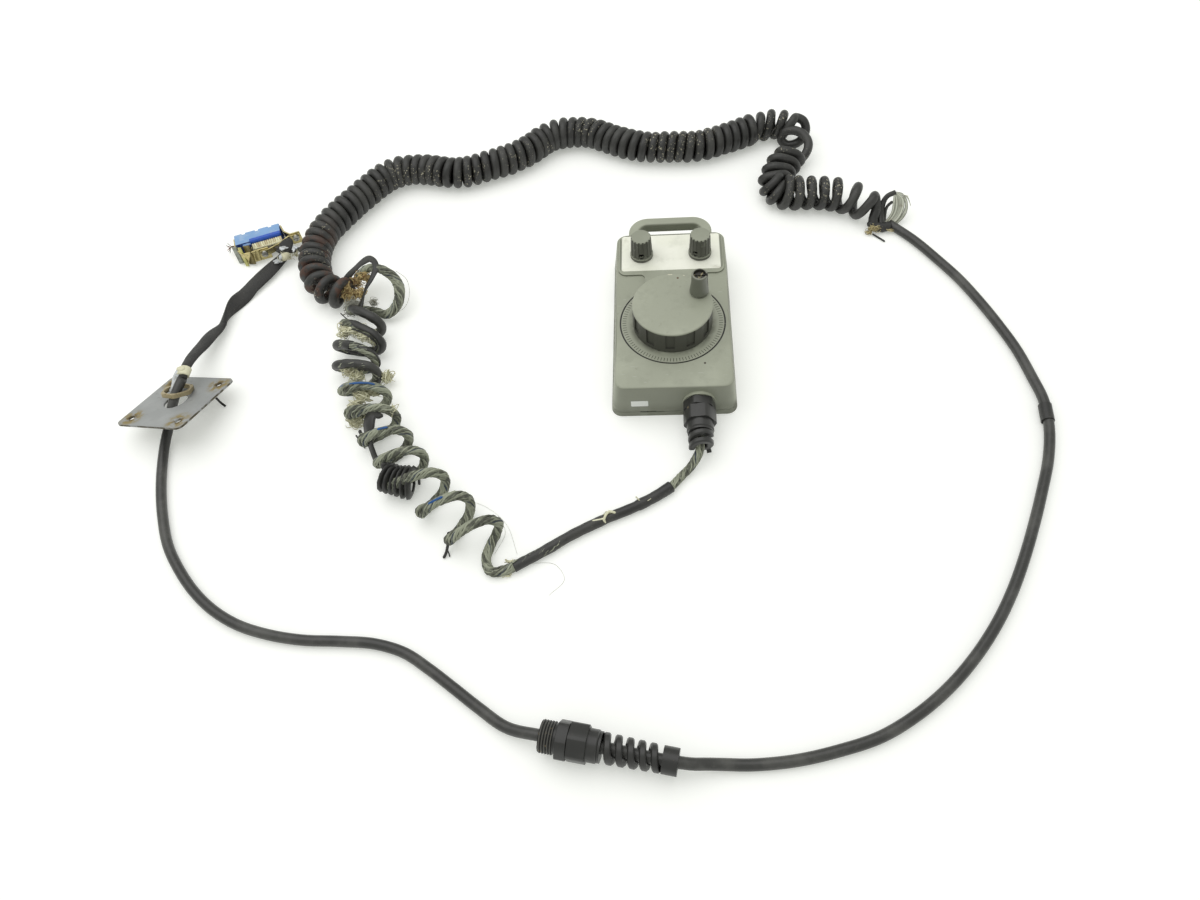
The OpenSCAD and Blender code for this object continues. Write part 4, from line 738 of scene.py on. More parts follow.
def torn_fibres():
    """Cream filler fibres, grey wool, the coloured conductors that show, torn tips and hairs."""
    fluff = Skin()
    lumps = (((-266, 0, 15), (6, 6, 6)), ((-257, -3, 20), (8, 5, 4)), ((-247, -8, 19), (7, 5, 4)),
             ((-239, -12, 14), (5, 4, 5)), ((-256, -42, 16), (5, 5, 4)), ((-249, -46, 14), (5, 4, 4)),
             ((-227, -44, 8), (5, 4.5, 5)), ((-241, -67, 15), (7, 5, 4.5)),
             ((-246, -75, 12), (6, 6, 5)), ((-246, -84, 6), (6, 5, 5)), ((-233, -62, 14), (7, 4, 4)),
             ((-214, -84, 19), (4, 4, 3)))
    for k, (centre, reach) in enumerate(lumps):
        tuft(fluff, centre, reach, (0.72, k, 0.4), (1.25, 34, 0.5, k, 1.1), k)
    for k, (centre, reach) in enumerate((((-116, -203.5, 5), (4, 2, 1.2)), ((-119, -212, 1.6), (6, 2, 0.8)),
                                         ((-48, -168.5, 6.6), (4, 2.2, 0.8)),
                                         ((-54, -173.5, 5.5), (6, 1.2, 1.2)))):
        tangle(fluff, centre, reach, 14, 0.45, 40 + k, 0.9, tag=800 + 20 * k)
    for k, (points, radius) in enumerate((
            (((-43, -168.3, 7), (-48, -168, 8.6), (-50, -170.5, 8.3), (-51.3, -173.5, 7.2),
              (-50.3, -174.5, 4)), 0.95),
            (((-51, -172.8, 7.8), (-55, -173.6, 7.4), (-59.5, -174.4, 7.2)), 0.6))):
        bar(fluff, points, radius, 8, 870 + k, 0.7)
    for k, points in enumerate((((-29, -156, 8), (-25.5, -159.5, 7.2), (-21, -159.8, 5)),
                                ((-24, -160.5, 6.8), (-20, -158.5, 7), (-17, -156, 7)),
                                ((-59, -174.5, 6.2), (-52, -173, 6.9), (-48, -168, 8), (-42, -168.6, 6)))):
        hair(fluff, points, 0.5, 880 + k)
    fluff.make("cream_fibres", fibre_finish(), "fray")
    gold = Skin()
    for k, (centre, reach) in enumerate((((-269, 54, 15), (5, 4, 4)), ((-271, 40, 13), (5, 5, 5)),
                                         ((-263, 43, 12), (4, 4, 3)), ((-259.5, 57, 17), (5, 4, 4)),
                                         ((-273, 45, 19), (3, 4, 3)))):
        tuft(gold, centre, reach, (0.5, k + 7), (1.5, 22, 0.45, 60 + k), k)
    rusty = fibre_finish("gold_fibre", (0.58, 0.46, 0.22), (0.22, 0.13, 0.05), (0.13, 0.03, 0.012), 0.4)
    gold.make("gold_fibres", rusty, "fray")
    wool = Skin()
    tangle(wool, (-266, 28, 11), (8, 7, 7.5), 90, 0.22, 80, 3.0)
    tangle(wool, (-250, 34, 10), (5, 5, 4), 22, 0.2, 81, 1.6, tag=100)
    for k, (centre, reach) in enumerate((((-262, 20, 16), (7, 4, 3)), ((-266, 28, 14), (5, 5, 4)))):
        tangle(wool, centre, reach, 30, 0.35, 83 + k, 1.2, tag=200 + 50 * k)
    hair(wool, [(-232, 21, 8), (-222, 28, 10), (-219, 40, 14), (-222, 51, 19), (-231, 57, 23)], 0.18, 130)
    for k, points in enumerate((((-112, -196, 0.2), (-122, -172, 0.2), (-138, -158, 0.2), (-152, -152, 0.2)),
                                ((-104, -203, 0.2), (-84, -205, 0.2), (-78, -215, 0.2), (-88, -227, 0.2)),
                                ((-128, -196, 0.2), (-122, -178, 0.2), (-128, -166, 0.2)))):
        hair(wool, points, 0.09, 140 + k)
    wool.make("grey_wool", fibre_finish("wool", (0.42, 0.42, 0.36), (0.16, 0.16, 0.13)), "fray")
    blue = Skin()
    for a, b, raise_by in ((6.13, 6.47, 3.9), (1.24, 1.36, 3.7), (4.20, 4.28, 3.7)):
        points = loose_coil(np.linspace(a, b, 9))
        points[:, 2] += raise_by
        bar(blue, points, 0.85, 8, int(a * 10), 1.0)
    f = Finish("blue_conductor", (0.012, 0.090, 0.30), 0.35)
    f.cloud((260, 4, 0.6), (0.5, 0.65, 0, 0.6), (0.05, 0.09, 0.15), 0.6)
    f.bump(f.noise(900, 2), 0.00004)
    blue.make("blue_conductors", f.material, "conductors")
    torn = Skin()
    for points, radius in (([(-160, -188, 9), (-161, -192, 5), (-162.5, -196, 2), (-164, -199, 1)], 1.1),
                           ([(-162, -192, 4), (-160.5, -195, 1.5), (-159.5, -198, 0.8)], 0.5),
                           ([(-146, -182, 20), (-153, -185, 16), (-160, -186, 14)], 0.9),
                           ([(-241, -93, 7), (-238, -98, 5), (-233, -104, 3)], 1.4),
                           ([(-244, -96, 5), (-240, -101, 3), (-236, -106, 1)], 0.7),
                           ([(-276, 22, 12), (-270, 18, 8), (-262, 16, 7)], 0.5)):
        bar(torn, points, radius, 7, int(radius * 10))
    torn.make("torn_tips", jacket_finish("torn_tip"), "cord_black")


def helix(axis, radius, pitch, start=0.0, wound=None):
    """Winds a line round an axis: side times cosine plus top times sine of the turn, and the
    turn grows by one for every pitch of the axis, or of the given distances along it."""
    along = lengths(axis) if wound is None else wound
    _, side, top = axes_of(axis, UP)
    a = 2 * math.pi * (start + along / pitch)[:, None]
    out = np.cos(a) * side + np.sin(a) * top
    return axis + np.reshape(radius, (-1, 1)) * out, unit(out)


# Unit direction across the coil at the kink, north and downwards
ACROSS_KINK = np.array([0.134, 0.779, -0.613])


def leaning_coil(left, right, depth, lean=(0, 0, 0)):
    """Turns whose outer points are known: the left ones at whole turns and the right ones half a
    turn before. Middle of the two, plus half their gap times the cosine of the turn, plus the
    direction across the kink times its sine, with depth for its half width. Lean, one for each turn or
    one for all, tips the front of the turns the other way."""
    turn = np.arange(-0.5, len(left) - 1 + 0.01, 0.125)
    centre, half = two_rails(turn, left, right)
    a = 2 * math.pi * turn[:, None]
    lean = np.atleast_2d(np.array(lean, float))
    at = np.linspace(0, len(left) - 1, len(lean))
    tip = np.stack([np.interp(turn, at, lean[:, k]) for k in range(3)], axis=1)
    away = ACROSS_KINK * depth - tip
    return centre + half * np.cos(a) + away * np.sin(a)


class PULSE_OT_curly_cord(Operator):
    """The curly cord: wound tight round its axis, then through its kink to its stretched end"""
    bl_idname = "pulse.curly_cord"
    bl_label = "Curly cord"

    def execute(self, context):
        s = cord_settings()
        axis = smooth_line(curly_route, s.turn_pitch / 18)
        along = lengths(axis)
        opened = 1 + 0.42 * rise(along, 62 * MM, 30 * MM)
        wound = np.concatenate([[0.0], np.cumsum(np.diff(along) / opened[1:])])
        winds = round(wound[-1] / s.turn_pitch)
        radius = (s.curl_d - s.curl_cord_d) / 2 * (1 + wander(along, 5, 60 * MM, 0.03))
        sway = 0.5 * MM * np.sin(along / 0.0061)[:, None] * np.array([0.3, 0.2, 0.4])
        tight, _ = helix(axis + sway, radius, wound[-1] / winds, 0.75, wound)
        second = leaning_coil(second_left, second_right, 9.0, [(2, 6, 1.5)] * 3 + [(1, 3, 1), (0, 0, 0)]
                              + [(2.5, -1.5, 0)] * 6)
        kink = np.concatenate([leaning_coil(kink_left, kink_right, 9.0, (2, 1, 0)), kink_fall, second,
                               curly_end])
        line = np.concatenate([even(tight, 1.2 * MM), smooth_line(kink, 1.2 * MM)])
        line = raised(even(line, 1.2 * MM), s.curl_cord_d / 2)
        piece = Skin().add(tube(line, s.curl_cord_d / 2, 14)).make(
            "curly_cord", jacket_finish("curly_jacket", True), "cord_black")
        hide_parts("cord_coil_west", "cord_coil_north", "cord_coil_middle",
                    "cord_coil_east", "cord_coil_turn", "cord_coil_stretched")
        float(lengths(line)[-1])
        frayed_end()
        return {"FINISHED"}


def frayed_end():
    """Where the curly cord meets the smooth one: an open ring of torn jacket and bare screen
    wires, with a knot of fibres at its foot."""
    black = Skin()
    ring = smooth_line([(181, 101, 3.5), (180, 107, 5), (180, 115, 8), (181.3, 121.8, 14),
                        (184.8, 125.7, 19), (191.7, 127.6, 21.5)], 0.9 * MM)
    width = 3.1 * MM * (1 - 0.3 * rise(lengths(ring), 0.018, 0.032))
    black.add(sweep(ring, ring_profile(12, 0.8), width, np.array([0.3, -0.75, 0.6])))
    bar(black, [(189.4, 121.8, 17), (185.2, 120, 13), (183.7, 114.7, 6), (183.4, 109, 3)], 1.3, 7, 1, 0.9)
    bar(black, [(168, 108, 6), (172, 106, 6.5), (177, 104.5, 5)], 2.4, 9, 2)
    bar(black, [(172, 100, 1.5), (177, 95.5, 1), (181.5, 91, 0.8)], 0.8, 6, 3)
    black.make("torn_ring", jacket_finish("ring_jacket"), "cord_black")
    wires = Skin()
    for k in range(14):
        b = (k - 6.5) * 0.75
        hair(wires, [(191.5 + 0.2 * b, 127.4 + 0.1 * b, 21), (194 + 0.9 * b, 122.5 + 0.3 * b, 17.5),
                     (193 + 1.0 * b, 115 + 0.2 * b, 11.5), (187 + 0.7 * b, 108.5 - 0.2 * b, 6),
                     (178, 104 + 0.15 * b, 3.5 + 0.1 * b)], 0.42, k)
    for k in range(4):
        b = (k - 1.5) * 0.9
        hair(wires, [(192, 128.4, 21), (196.5 + b, 127 + b, 19), (201 + 0.6 * b, 123 + 0.6 * b, 15),
                     (200 + b, 116, 9), (194 + b, 110, 4.5), (181.5, 103 + 0.4 * b, 3)], 0.4, 10 + k)
    for k in range(5):
        hair(wires, [(194, 127, 20), (198 + 0.8 * k, 127 - 0.6 * k, 19),
                     (202.5 + 0.5 * k, 125.5 - 1.6 * k, 18.5 - 1.2 * k)], 0.3, 20 + k)
    screen = fibre_finish("screen_wire", (0.66, 0.68, 0.58), (0.17, 0.175, 0.14))
    wires.make("screen_wires", screen, "conductors")
    knot = Skin().add(blob((174, 104, 5), (4, 2.6, 2.4), 3))
    tangle(knot, (174, 103.5, 5), (6.5, 4, 3.6), 30, 0.4, 91, tag=1)
    tangle(knot, (169, 101.5, 2), (3.5, 2.5, 1.8), 14, 0.35, 92, tag=40)
    tangle(knot, (186, 102.5, 3.6), (8, 2.2, 2), 12, 0.35, 93, 0.9, tag=60)
    knot.make("end_knot", fibre_finish("knot_fibre", (0.62, 0.54, 0.30), (0.20, 0.15, 0.07)), "fray")


class PULSE_OT_smooth_cord(Operator):
    """The smooth cord, through its in-line gland and up through the mounting plate"""
    bl_idname = "pulse.smooth_cord"
    bl_label = "Smooth cord"

    def execute(self, context):
        s = cord_settings()
        line = smooth_line(smooth_route, 3 * MM)
        # The jacket here is paled 1.7 times: a painted sheen
        piece = Skin().add(tube(line, s.cord_d / 2, 24)).make(
            "smooth_cord", jacket_finish("smooth_jacket", gloss=0.30, painted_sheen=1.7), "cord_black")
        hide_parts("cord_long_run", "cord_left_run")
        float(lengths(line)[-1])
        inline_thread()
        return {"FINISHED"}


def inline_thread():
    """Thread crests on the stub of the in-line gland: rings of a rounded tooth along its axis."""
    ahead = unit(INLINE[1] - INLINE[0])
    at = np.linspace(-0.2, 8.6, 89)[:, None]
    line = (INLINE[0] + at * ahead) * MM
    pitch = 1.75
    radius = 9.32 + 0.75 * np.abs(np.sin(math.pi * at[:, 0] / pitch))
    outer = tube(line, radius * MM, 40)
    inner = tube(line, 8.9 * MM, 40)
    skin = Skin().add(np.concatenate([outer, inner[::-1]]), closed=True)
    f = moulded("thread_nylon", (0.020, 0.020, 0.019), 0.4, soil=0.2)
    tooth = f.math("ABSOLUTE", f.math("SINE", f.math("MULTIPLY", f.part("X", f.where.outputs["UV"]),
                                                     math.pi / (pitch * MM))))
    # Painted highlight on the thread's crests, and painted shade down in its roots
    f.layer(f.span(tooth, 0.5, 1.0, 0, 0.8), (0.075, 0.072, 0.062), 0.5)
    f.layer(f.span(tooth, 0.5, 0.1, 0, 0.8), (0.004, 0.004, 0.004), 0.8)
    f.cloud((300, 3, 0.6), (0.64, 0.70, 0, 0.9), (0.26, 0.20, 0.10), 0.7)
    skin.make("inline_thread", f.material, "gland_black")


# Share of the sleeve's length, and its half width there
SLEEVE_WIDTHS = ((0, 3.8), (0.06, 4.0), (0.14, 5.6), (0.30, 6.8), (0.44, 6.4), (0.56, 5.6),
                 (0.72, 8.2), (0.86, 8.8), (0.95, 6.4), (1, 5.0))


class PULSE_OT_sleeve(Operator):
    """The flat twisted sleeve between the mounting plate and the plug"""
    bl_idname = "pulse.sleeve"
    bl_label = "Twisted sleeve"

    def execute(self, context):
        line = smooth_line(sleeve_route, 1.2 * MM)
        along = lengths(line)
        end = along[-1]
        half = np.interp(along / end, *zip(*SLEEVE_WIDTHS)) * MM
        half = np.convolve(np.pad(half, 6, "edge"), np.ones(13) / 13, "valid")
        thick = 2.5 * MM * (1 + wander(along, 1, 40 * MM, 0.1))
        turn = 0.10 + math.pi * rise(along / end, 0.36, 0.74)
        tall = np.hypot(half * np.sin(turn), thick * np.cos(turn))
        line[:, 2] = np.maximum(line[:, 2] - 3.2 * MM * rise(along, 55 * MM, 80 * MM), tall)
        profile = ring_profile(28)[None] * np.stack([half, thick], axis=1)[:, None]
        f = Finish("sleeve_fabric", (0.030, 0.030, 0.030), 0.62)
        f.cloud((60, 5, 0.6), (0.42, 0.66, 0, 0.7), (0.055, 0.053, 0.050), 0.7)
        f.cloud((300, 4, 0.75), (0.62, 0.74, 0, 0.7), (0.20, 0.20, 0.17), 0.8)
        lines = f.node("TexWave", Vector=f.place((1, 46, 1), "UV"), Scale=1.0, Distortion=1.2,
                       bands_direction="Y").outputs["Fac"]
        f.layer(f.span(lines, 0.6, 1.0, 0, 0.3), (0.085, 0.082, 0.078))
        f.bump(lines, 0.00012)
        skin = Skin().add(sweep(line, profile, 1.0, UP, turn))
        piece = skin.make("twisted_sleeve", f.material, "sleeve")
        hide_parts("cord_sleeve")
        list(sleeve_ends(f.material))
        return {"FINISHED"}


def sleeve_ends(black):
    """At the sleeve's two ends: scraps of clear film, the ties' knots and band, and the collar that
    goes on to the plug."""
    film = Skin()
    line = smooth_line([(-396, -60, 18), (-392, -52, 24), (-388, -46, 28)], 0.8 * MM)
    film.add(sweep(line, box_profile(1.0, 0.18), 2.2 * MM, UP, 0.5 * np.sin(lengths(line) / 0.003)))
    for k, (centre, reach) in enumerate((((-346.5, 87.5, 9), (3.4, 2.0, 1.5)),
                                         ((-342, 99.5, 13), (3.6, 2.0, 1.2)),
                                         ((-343, 91, 11), (1.8, 2.6, 1.6)),
                                         ((-333, 101, 10.5), (2.2, 3.2, 1.2)))):
        film.add(blob(centre, reach, 3 * k + 1, 0.55, 16, 28), tag=10 + k)
    f = Finish("clear_film", (0.66, 0.69, 0.72), 0.16)
    f.cloud((320, 4, 0.6), (0.45, 0.6, 0, 0.7), (0.38, 0.39, 0.37), 0.5)
    f.bump(f.noise(700, 3), 0.0002)
    film.make("film_scraps", f.material, "tie")
    knot = Skin().add(blob((-340, 92.5, 9.5), (4.4, 3.8, 3.4), 5, 0.18))
    tangle(knot, (-340, 93, 9), (6, 5, 4), 14, 0.4, 95, tag=1)
    tangle(knot, (-333, 100, 6.5), (5, 6, 3.5), 12, 0.35, 96, 1.2, tag=30)
    band = smooth_line([(-386.2, -49, 24.3), (-386.1, -45.5, 24.4), (-386.3, -42, 23.8)], 0.8 * MM)
    knot.add(tube(band, 5.0 * MM, 24, UP, 0.82), tag=60)
    knot.add(blob((-387, -45, 28.2), (3.4, 2.6, 1.4), 2, 0.12), tag=61)
    tape = fibre_finish("tie_tape", (0.72, 0.70, 0.52), (0.5, 0.47, 0.32), spots=0.1)
    tied = knot.make("tie_knots", tape, "tie")
    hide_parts("cord_ties")
    collar = Skin()
    line = smooth_line([(-345, 97, 9), (-342, 103, 10.5), (-342, 109, 11), (-345, 114, 9)], 0.9 * MM)
    width = 6.4 * MM * (1 - 0.3 * rise(lengths(line), 0.010, 0.018))
    collar.add(sweep(line, ring_profile(16, 0.4), width, UP))
    bar(collar, [(-341, 98, 9), (-335, 101, 8), (-329, 106, 6)], 1.5, 8, 1, 0.9)
    return tied, collar.make("sleeve_collar", black, "sleeve")


# ---- CAD pieces ----

def dress(node, material, bevel=0.0):
    """Gives a CAD piece its finish, joins its triangles for smooth shading, softens its edges."""
    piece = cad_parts[node]
    piece.data.materials.clear()
    piece.data.materials.append(material)
    joined = piece.modifiers.new("joined", "NODES")
    joined.node_group = shading_group()
    if bevel:
        soft = piece.modifiers.new("soft_edges", "BEVEL")
        soft.width = bevel
        soft.segments = 2
        soft.limit_method = "ANGLE"
        soft.angle_limit = math.radians(35)
        soft.harden_normals = True
    return piece


def shading_group():
    """Node group that joins loose triangles and keeps edges over 32 degrees sharp."""
    name = "join_and_smooth"
    if name in bpy.data.node_groups:
        return bpy.data.node_groups[name]
    group = bpy.data.node_groups.new(name, "GeometryNodeTree")
    group.interface.new_socket("Geometry", in_out="INPUT", socket_type="NodeSocketGeometry")
    group.interface.new_socket("Geometry", in_out="OUTPUT", socket_type="NodeSocketGeometry")
    add, link = group.nodes.new, group.links.new
    start, end = add("NodeGroupInput"), add("NodeGroupOutput")
    merge = add("GeometryNodeMergeByDistance")
    soft = add("GeometryNodeSetShadeSmooth")
    hard = add("GeometryNodeSetShadeSmooth")
    angle, over = add("GeometryNodeInputMeshEdgeAngle"), add("FunctionNodeCompare")
    merge.inputs["Distance"].default_value = 2e-6
    hard.domain = "EDGE"
    hard.inputs["Shade Smooth"].default_value = False
    over.operation = "GREATER_THAN"
    over.inputs[1].default_value = math.radians(32)
    link(start.outputs[0], merge.inputs["Geometry"])
    link(merge.outputs[0], soft.inputs["Geometry"])
    link(soft.outputs[0], hard.inputs["Geometry"])
    link(angle.outputs["Unsigned Angle"], over.inputs[0])
    link(over.outputs[0], hard.inputs["Selection"])
    link(hard.outputs[0], end.inputs[0])
    return group


# Heights of the case's seam, its ledge and the wheel's top, and the middle of the pry notch
SEAM_Z, LEDGE_Z, WHEEL_TOP = 0.0048, 0.0315, 0.0528
PRY_X = -19.8 * MM
# Axis of the crank grip, seen from above
CRANK_AT = (0.02031, -0.0059)
# Middle of the mounting plate, its tilt in degrees, and half the spacing of its corner holes
PLATE_AT = Vector((-0.389, -0.0695, 0.0166))
PLATE_TILT = {"X": -17.5, "Y": -12.5, "Z": -13.5}
HOLE_AT = 24 * MM


def case_finish():
    """Grey-green case: black ring and fine ticks round the dial, grime round the wheel and low on the
    walls, a dark seam and pry notch, a few scuffs on the level faces, and painted shade on the
    ledge's wall and on the faces that look to the front."""
    s = case_settings()
    f = moulded("case_plastic", s.paint, 0.46)
    x, y, away = f.round_axis(0.0, DIAL_Y * MM)
    z = f.part("Z")
    level = f.both(f.facing("Z", 0.8, 0.95), f.span(z, 0.0308, LEDGE_Z))
    f.layer(f.both(level, f.span(away, 0.0305, 0.0350, 0.55, 0), f.span(f.noise(90, 4), 0.3, 0.6)),
            (0.06, 0.06, 0.045), 0.7)
    turn = f.math("MULTIPLY", f.math("ARCTAN2", y, x), s.ticks / (2 * math.pi))
    share = f.math("FRACT", f.math("ADD", turn, s.ticks / 2 + 0.5))
    f.layer(f.both(f.stripe(share, 0.5, 0.07, 0.13), f.span(away, 0.0354, 0.0356),
                   f.span(away, 0.0384, 0.0386, 1, 0), level), (0.035, 0.036, 0.03), 0.5)
    f.layer(f.both(level, f.stripe(away, s.dial_r, 0.0005, 0.0007)), (0.012, 0.012, 0.011), 0.5)
    wall = f.upright(0.25, 0.6)
    low = f.both(wall, f.span(z, 0.006, 0.016, 0.75, 0), f.span(f.noise(50, 5, 0.65), 0.35, 0.6))
    f.layer(low, (0.07, 0.065, 0.05), 0.75)
    f.layer(f.both(wall, f.stripe(z, SEAM_Z, 0.0002, 0.0005)), (0.015, 0.015, 0.013), 0.7)
    # Painted shade on the wall of the raised panel's ledge
    f.layer(f.both(wall, f.stripe(z, LEDGE_Z, 0.0005, 0.0008, 0.75)), (0.035, 0.035, 0.03), 0.6)
    # Painted shade: the faces that look to the front are darkened
    front = f.math("MULTIPLY", f.part("Y", f.where.outputs["Normal"]), -1.0)
    f.layer(f.span(front, 0.4, 0.9, 0, 0.8), shade(s.paint, 0.66))
    f.layer(f.both(f.span(front, 0.4, 0.9), f.stripe(x, PRY_X, 0.0058, 0.0062),
                   f.stripe(z, SEAM_Z, 0.0006, 0.0008)), (0.006, 0.006, 0.005), 0.8)
    scuff = f.span(f.noise(120, 2, 0.5, f.place((1, 9, 1))), 0.70, 0.74, 0, 0.5)
    f.layer(f.both(level, scuff), (0.5, 0.51, 0.46))
    f.layer(f.near((0.0231, -0.0574, 0.0322), 0.0011), (0.05, 0.04, 0.03), 0.8)
    return f.material


def wheel_finish():
    """Handwheel: pale worn top with a brown spot, a streak and a scuff; its side near black."""
    f = moulded("wheel_plastic", case_settings().paint, 0.44)
    f.layer(f.near((0.0046, 0.0090, WHEEL_TOP), 0.0010, 0.3), (0.10, 0.055, 0.03), 0.7)
    for x in (-0.0022, -0.0012, -0.0002):
        f.layer(f.near((x, 0.0134, WHEEL_TOP), 0.0011, 0.3), (0.72, 0.70, 0.55))
    f.layer(f.near((0.0094, 0.0118, WHEEL_TOP), 0.0010), (0.66, 0.65, 0.5))
    f.layer(f.span(f.part("Z"), 0.0508, 0.0522, 0.92, 0), (0.034, 0.034, 0.028), 0.5)
    return f.material


def grip_finish():
    """Crank grip: a painted highlight on its top face, a dark dirty well in its top, a ragged crack at
    the top of its side.
    """
    f = moulded("grip_plastic", shade(case_settings().paint, 0.38), 0.42)
    x, y, away = f.round_axis(*CRANK_AT)
    # Painted highlight: the top face round the well is lightened
    f.layer(f.both(f.facing("Z", 0.5, 0.9), f.span(away, 0.0044, 0.0052)), (0.22, 0.225, 0.18), 0.4)
    f.layer(f.span(away, 0.0044, 0.0048, 1, 0), (0.012, 0.011, 0.009), 0.8)
    crack = f.math("ABSOLUTE", f.math("ADD", y, f.math("MULTIPLY", f.noise(240, 2), 0.002)))
    f.layer(f.both(f.span(crack, 0.0011, 0.0014, 1, 0), f.span(x, 0.003, 0.004),
                   f.span(f.part("Z"), 0.060, 0.062)), (0.01, 0.01, 0.008), 0.8)
    return f.material


def knob_finish():
    """Selector knobs: pale tops with paler worn patches, painted shade darkening the fluted sides,
    a dark patch at each set screw.
    """
    f = moulded("knob_plastic", shade(case_settings().paint, 0.8), 0.42)
    # Painted shade: every face that doesn't look up is darkened
    f.layer(f.span(f.facing("Z", 0.3, 0.8), 0, 1, 0.85, 0), (0.045, 0.046, 0.037), 0.45)
    f.cloud((130, 4, 0.7), (0.6, 0.72, 0, 0.4), (0.30, 0.31, 0.25))
    for x, y in ((-0.0235, 0.0463), (0.0190, 0.0475)):
        f.layer(f.near((x, y, 0.0385), 0.0027, 0.15), (0.008, 0.008, 0.007), 0.8)
    return f.material


def label_finish():
    """Off-white label plate, greyed towards its two ends, and dark at their edges with the painted
    shadow of the recess walls.
    """
    f = moulded("label_plate", case_settings().plate, 0.38, soil=0.15, dirt=(0.42, 0.40, 0.3))
    x = f.math("ABSOLUTE", f.part("X"))
    # Painted shadow of the recess walls along the plate's two ends
    f.layer(f.span(x, 0.0394, 0.0399, 0, 0.8), (0.10, 0.10, 0.08), 0.7)
    f.layer(f.both(f.span(f.noise(60, 5, 0.6), 0.5, 0.7), f.span(x, 0.026, 0.04, 0.1, 0.7)),
            (0.52, 0.51, 0.42))
    return f.material


def plate_finish():
    """Blue-grey steel plate: rust rings round the corner holes and a browned edge."""
    f = Finish("plate_steel", (0.29, 0.30, 0.30), 0.42, 0.15)
    f.cloud((45, 5, 0.6), (0.4, 0.7, 0, 0.7), (0.36, 0.37, 0.37), 0.5)
    f.cloud((150, 4, 0.7), (0.58, 0.72, 0, 0.5), (0.18, 0.18, 0.17), 0.6)
    tilt = {axis: Matrix.Rotation(math.radians(a), 3, axis) for axis, a in PLATE_TILT.items()}
    turn = tilt["Z"] @ tilt["Y"] @ tilt["X"]
    rough_edge = f.span(f.noise(190, 4, 0.6), 0.36, 0.58)
    for x in (-HOLE_AT, HOLE_AT):
        for y in (-HOLE_AT, HOLE_AT):
            hole = tuple(turn @ Vector((x, y, 0)) + PLATE_AT)
            f.layer(f.both(f.near(hole, 0.0125, 0.55), rough_edge), (0.26, 0.20, 0.075), 0.75, 0.1)
            f.layer(f.both(f.near(hole, 0.0062, 0.5), rough_edge), (0.10, 0.07, 0.03), 0.85, 0.0)
    f.layer(f.both(f.upright(0.45, 0.7), rough_edge), (0.085, 0.072, 0.045), 0.7)
    f.bump(f.noise(500, 4), 0.00004)
    return f.material


def plug_finish():
    """Light blue insulator: its walls a deeper blue as painted shade, and paler clouds over all."""
    f = moulded("plug_blue", (0.20, 0.36, 0.62), 0.36, soil=0.25)
    # Painted shade: the walls are darkened to a deeper blue
    f.layer(f.upright(0.4, 0.8), (0.012, 0.055, 0.32), 0.4)
    f.cloud((110, 5, 0.65), (0.5, 0.68, 0, 0.7), (0.38, 0.50, 0.66), 0.5)
    return f.material


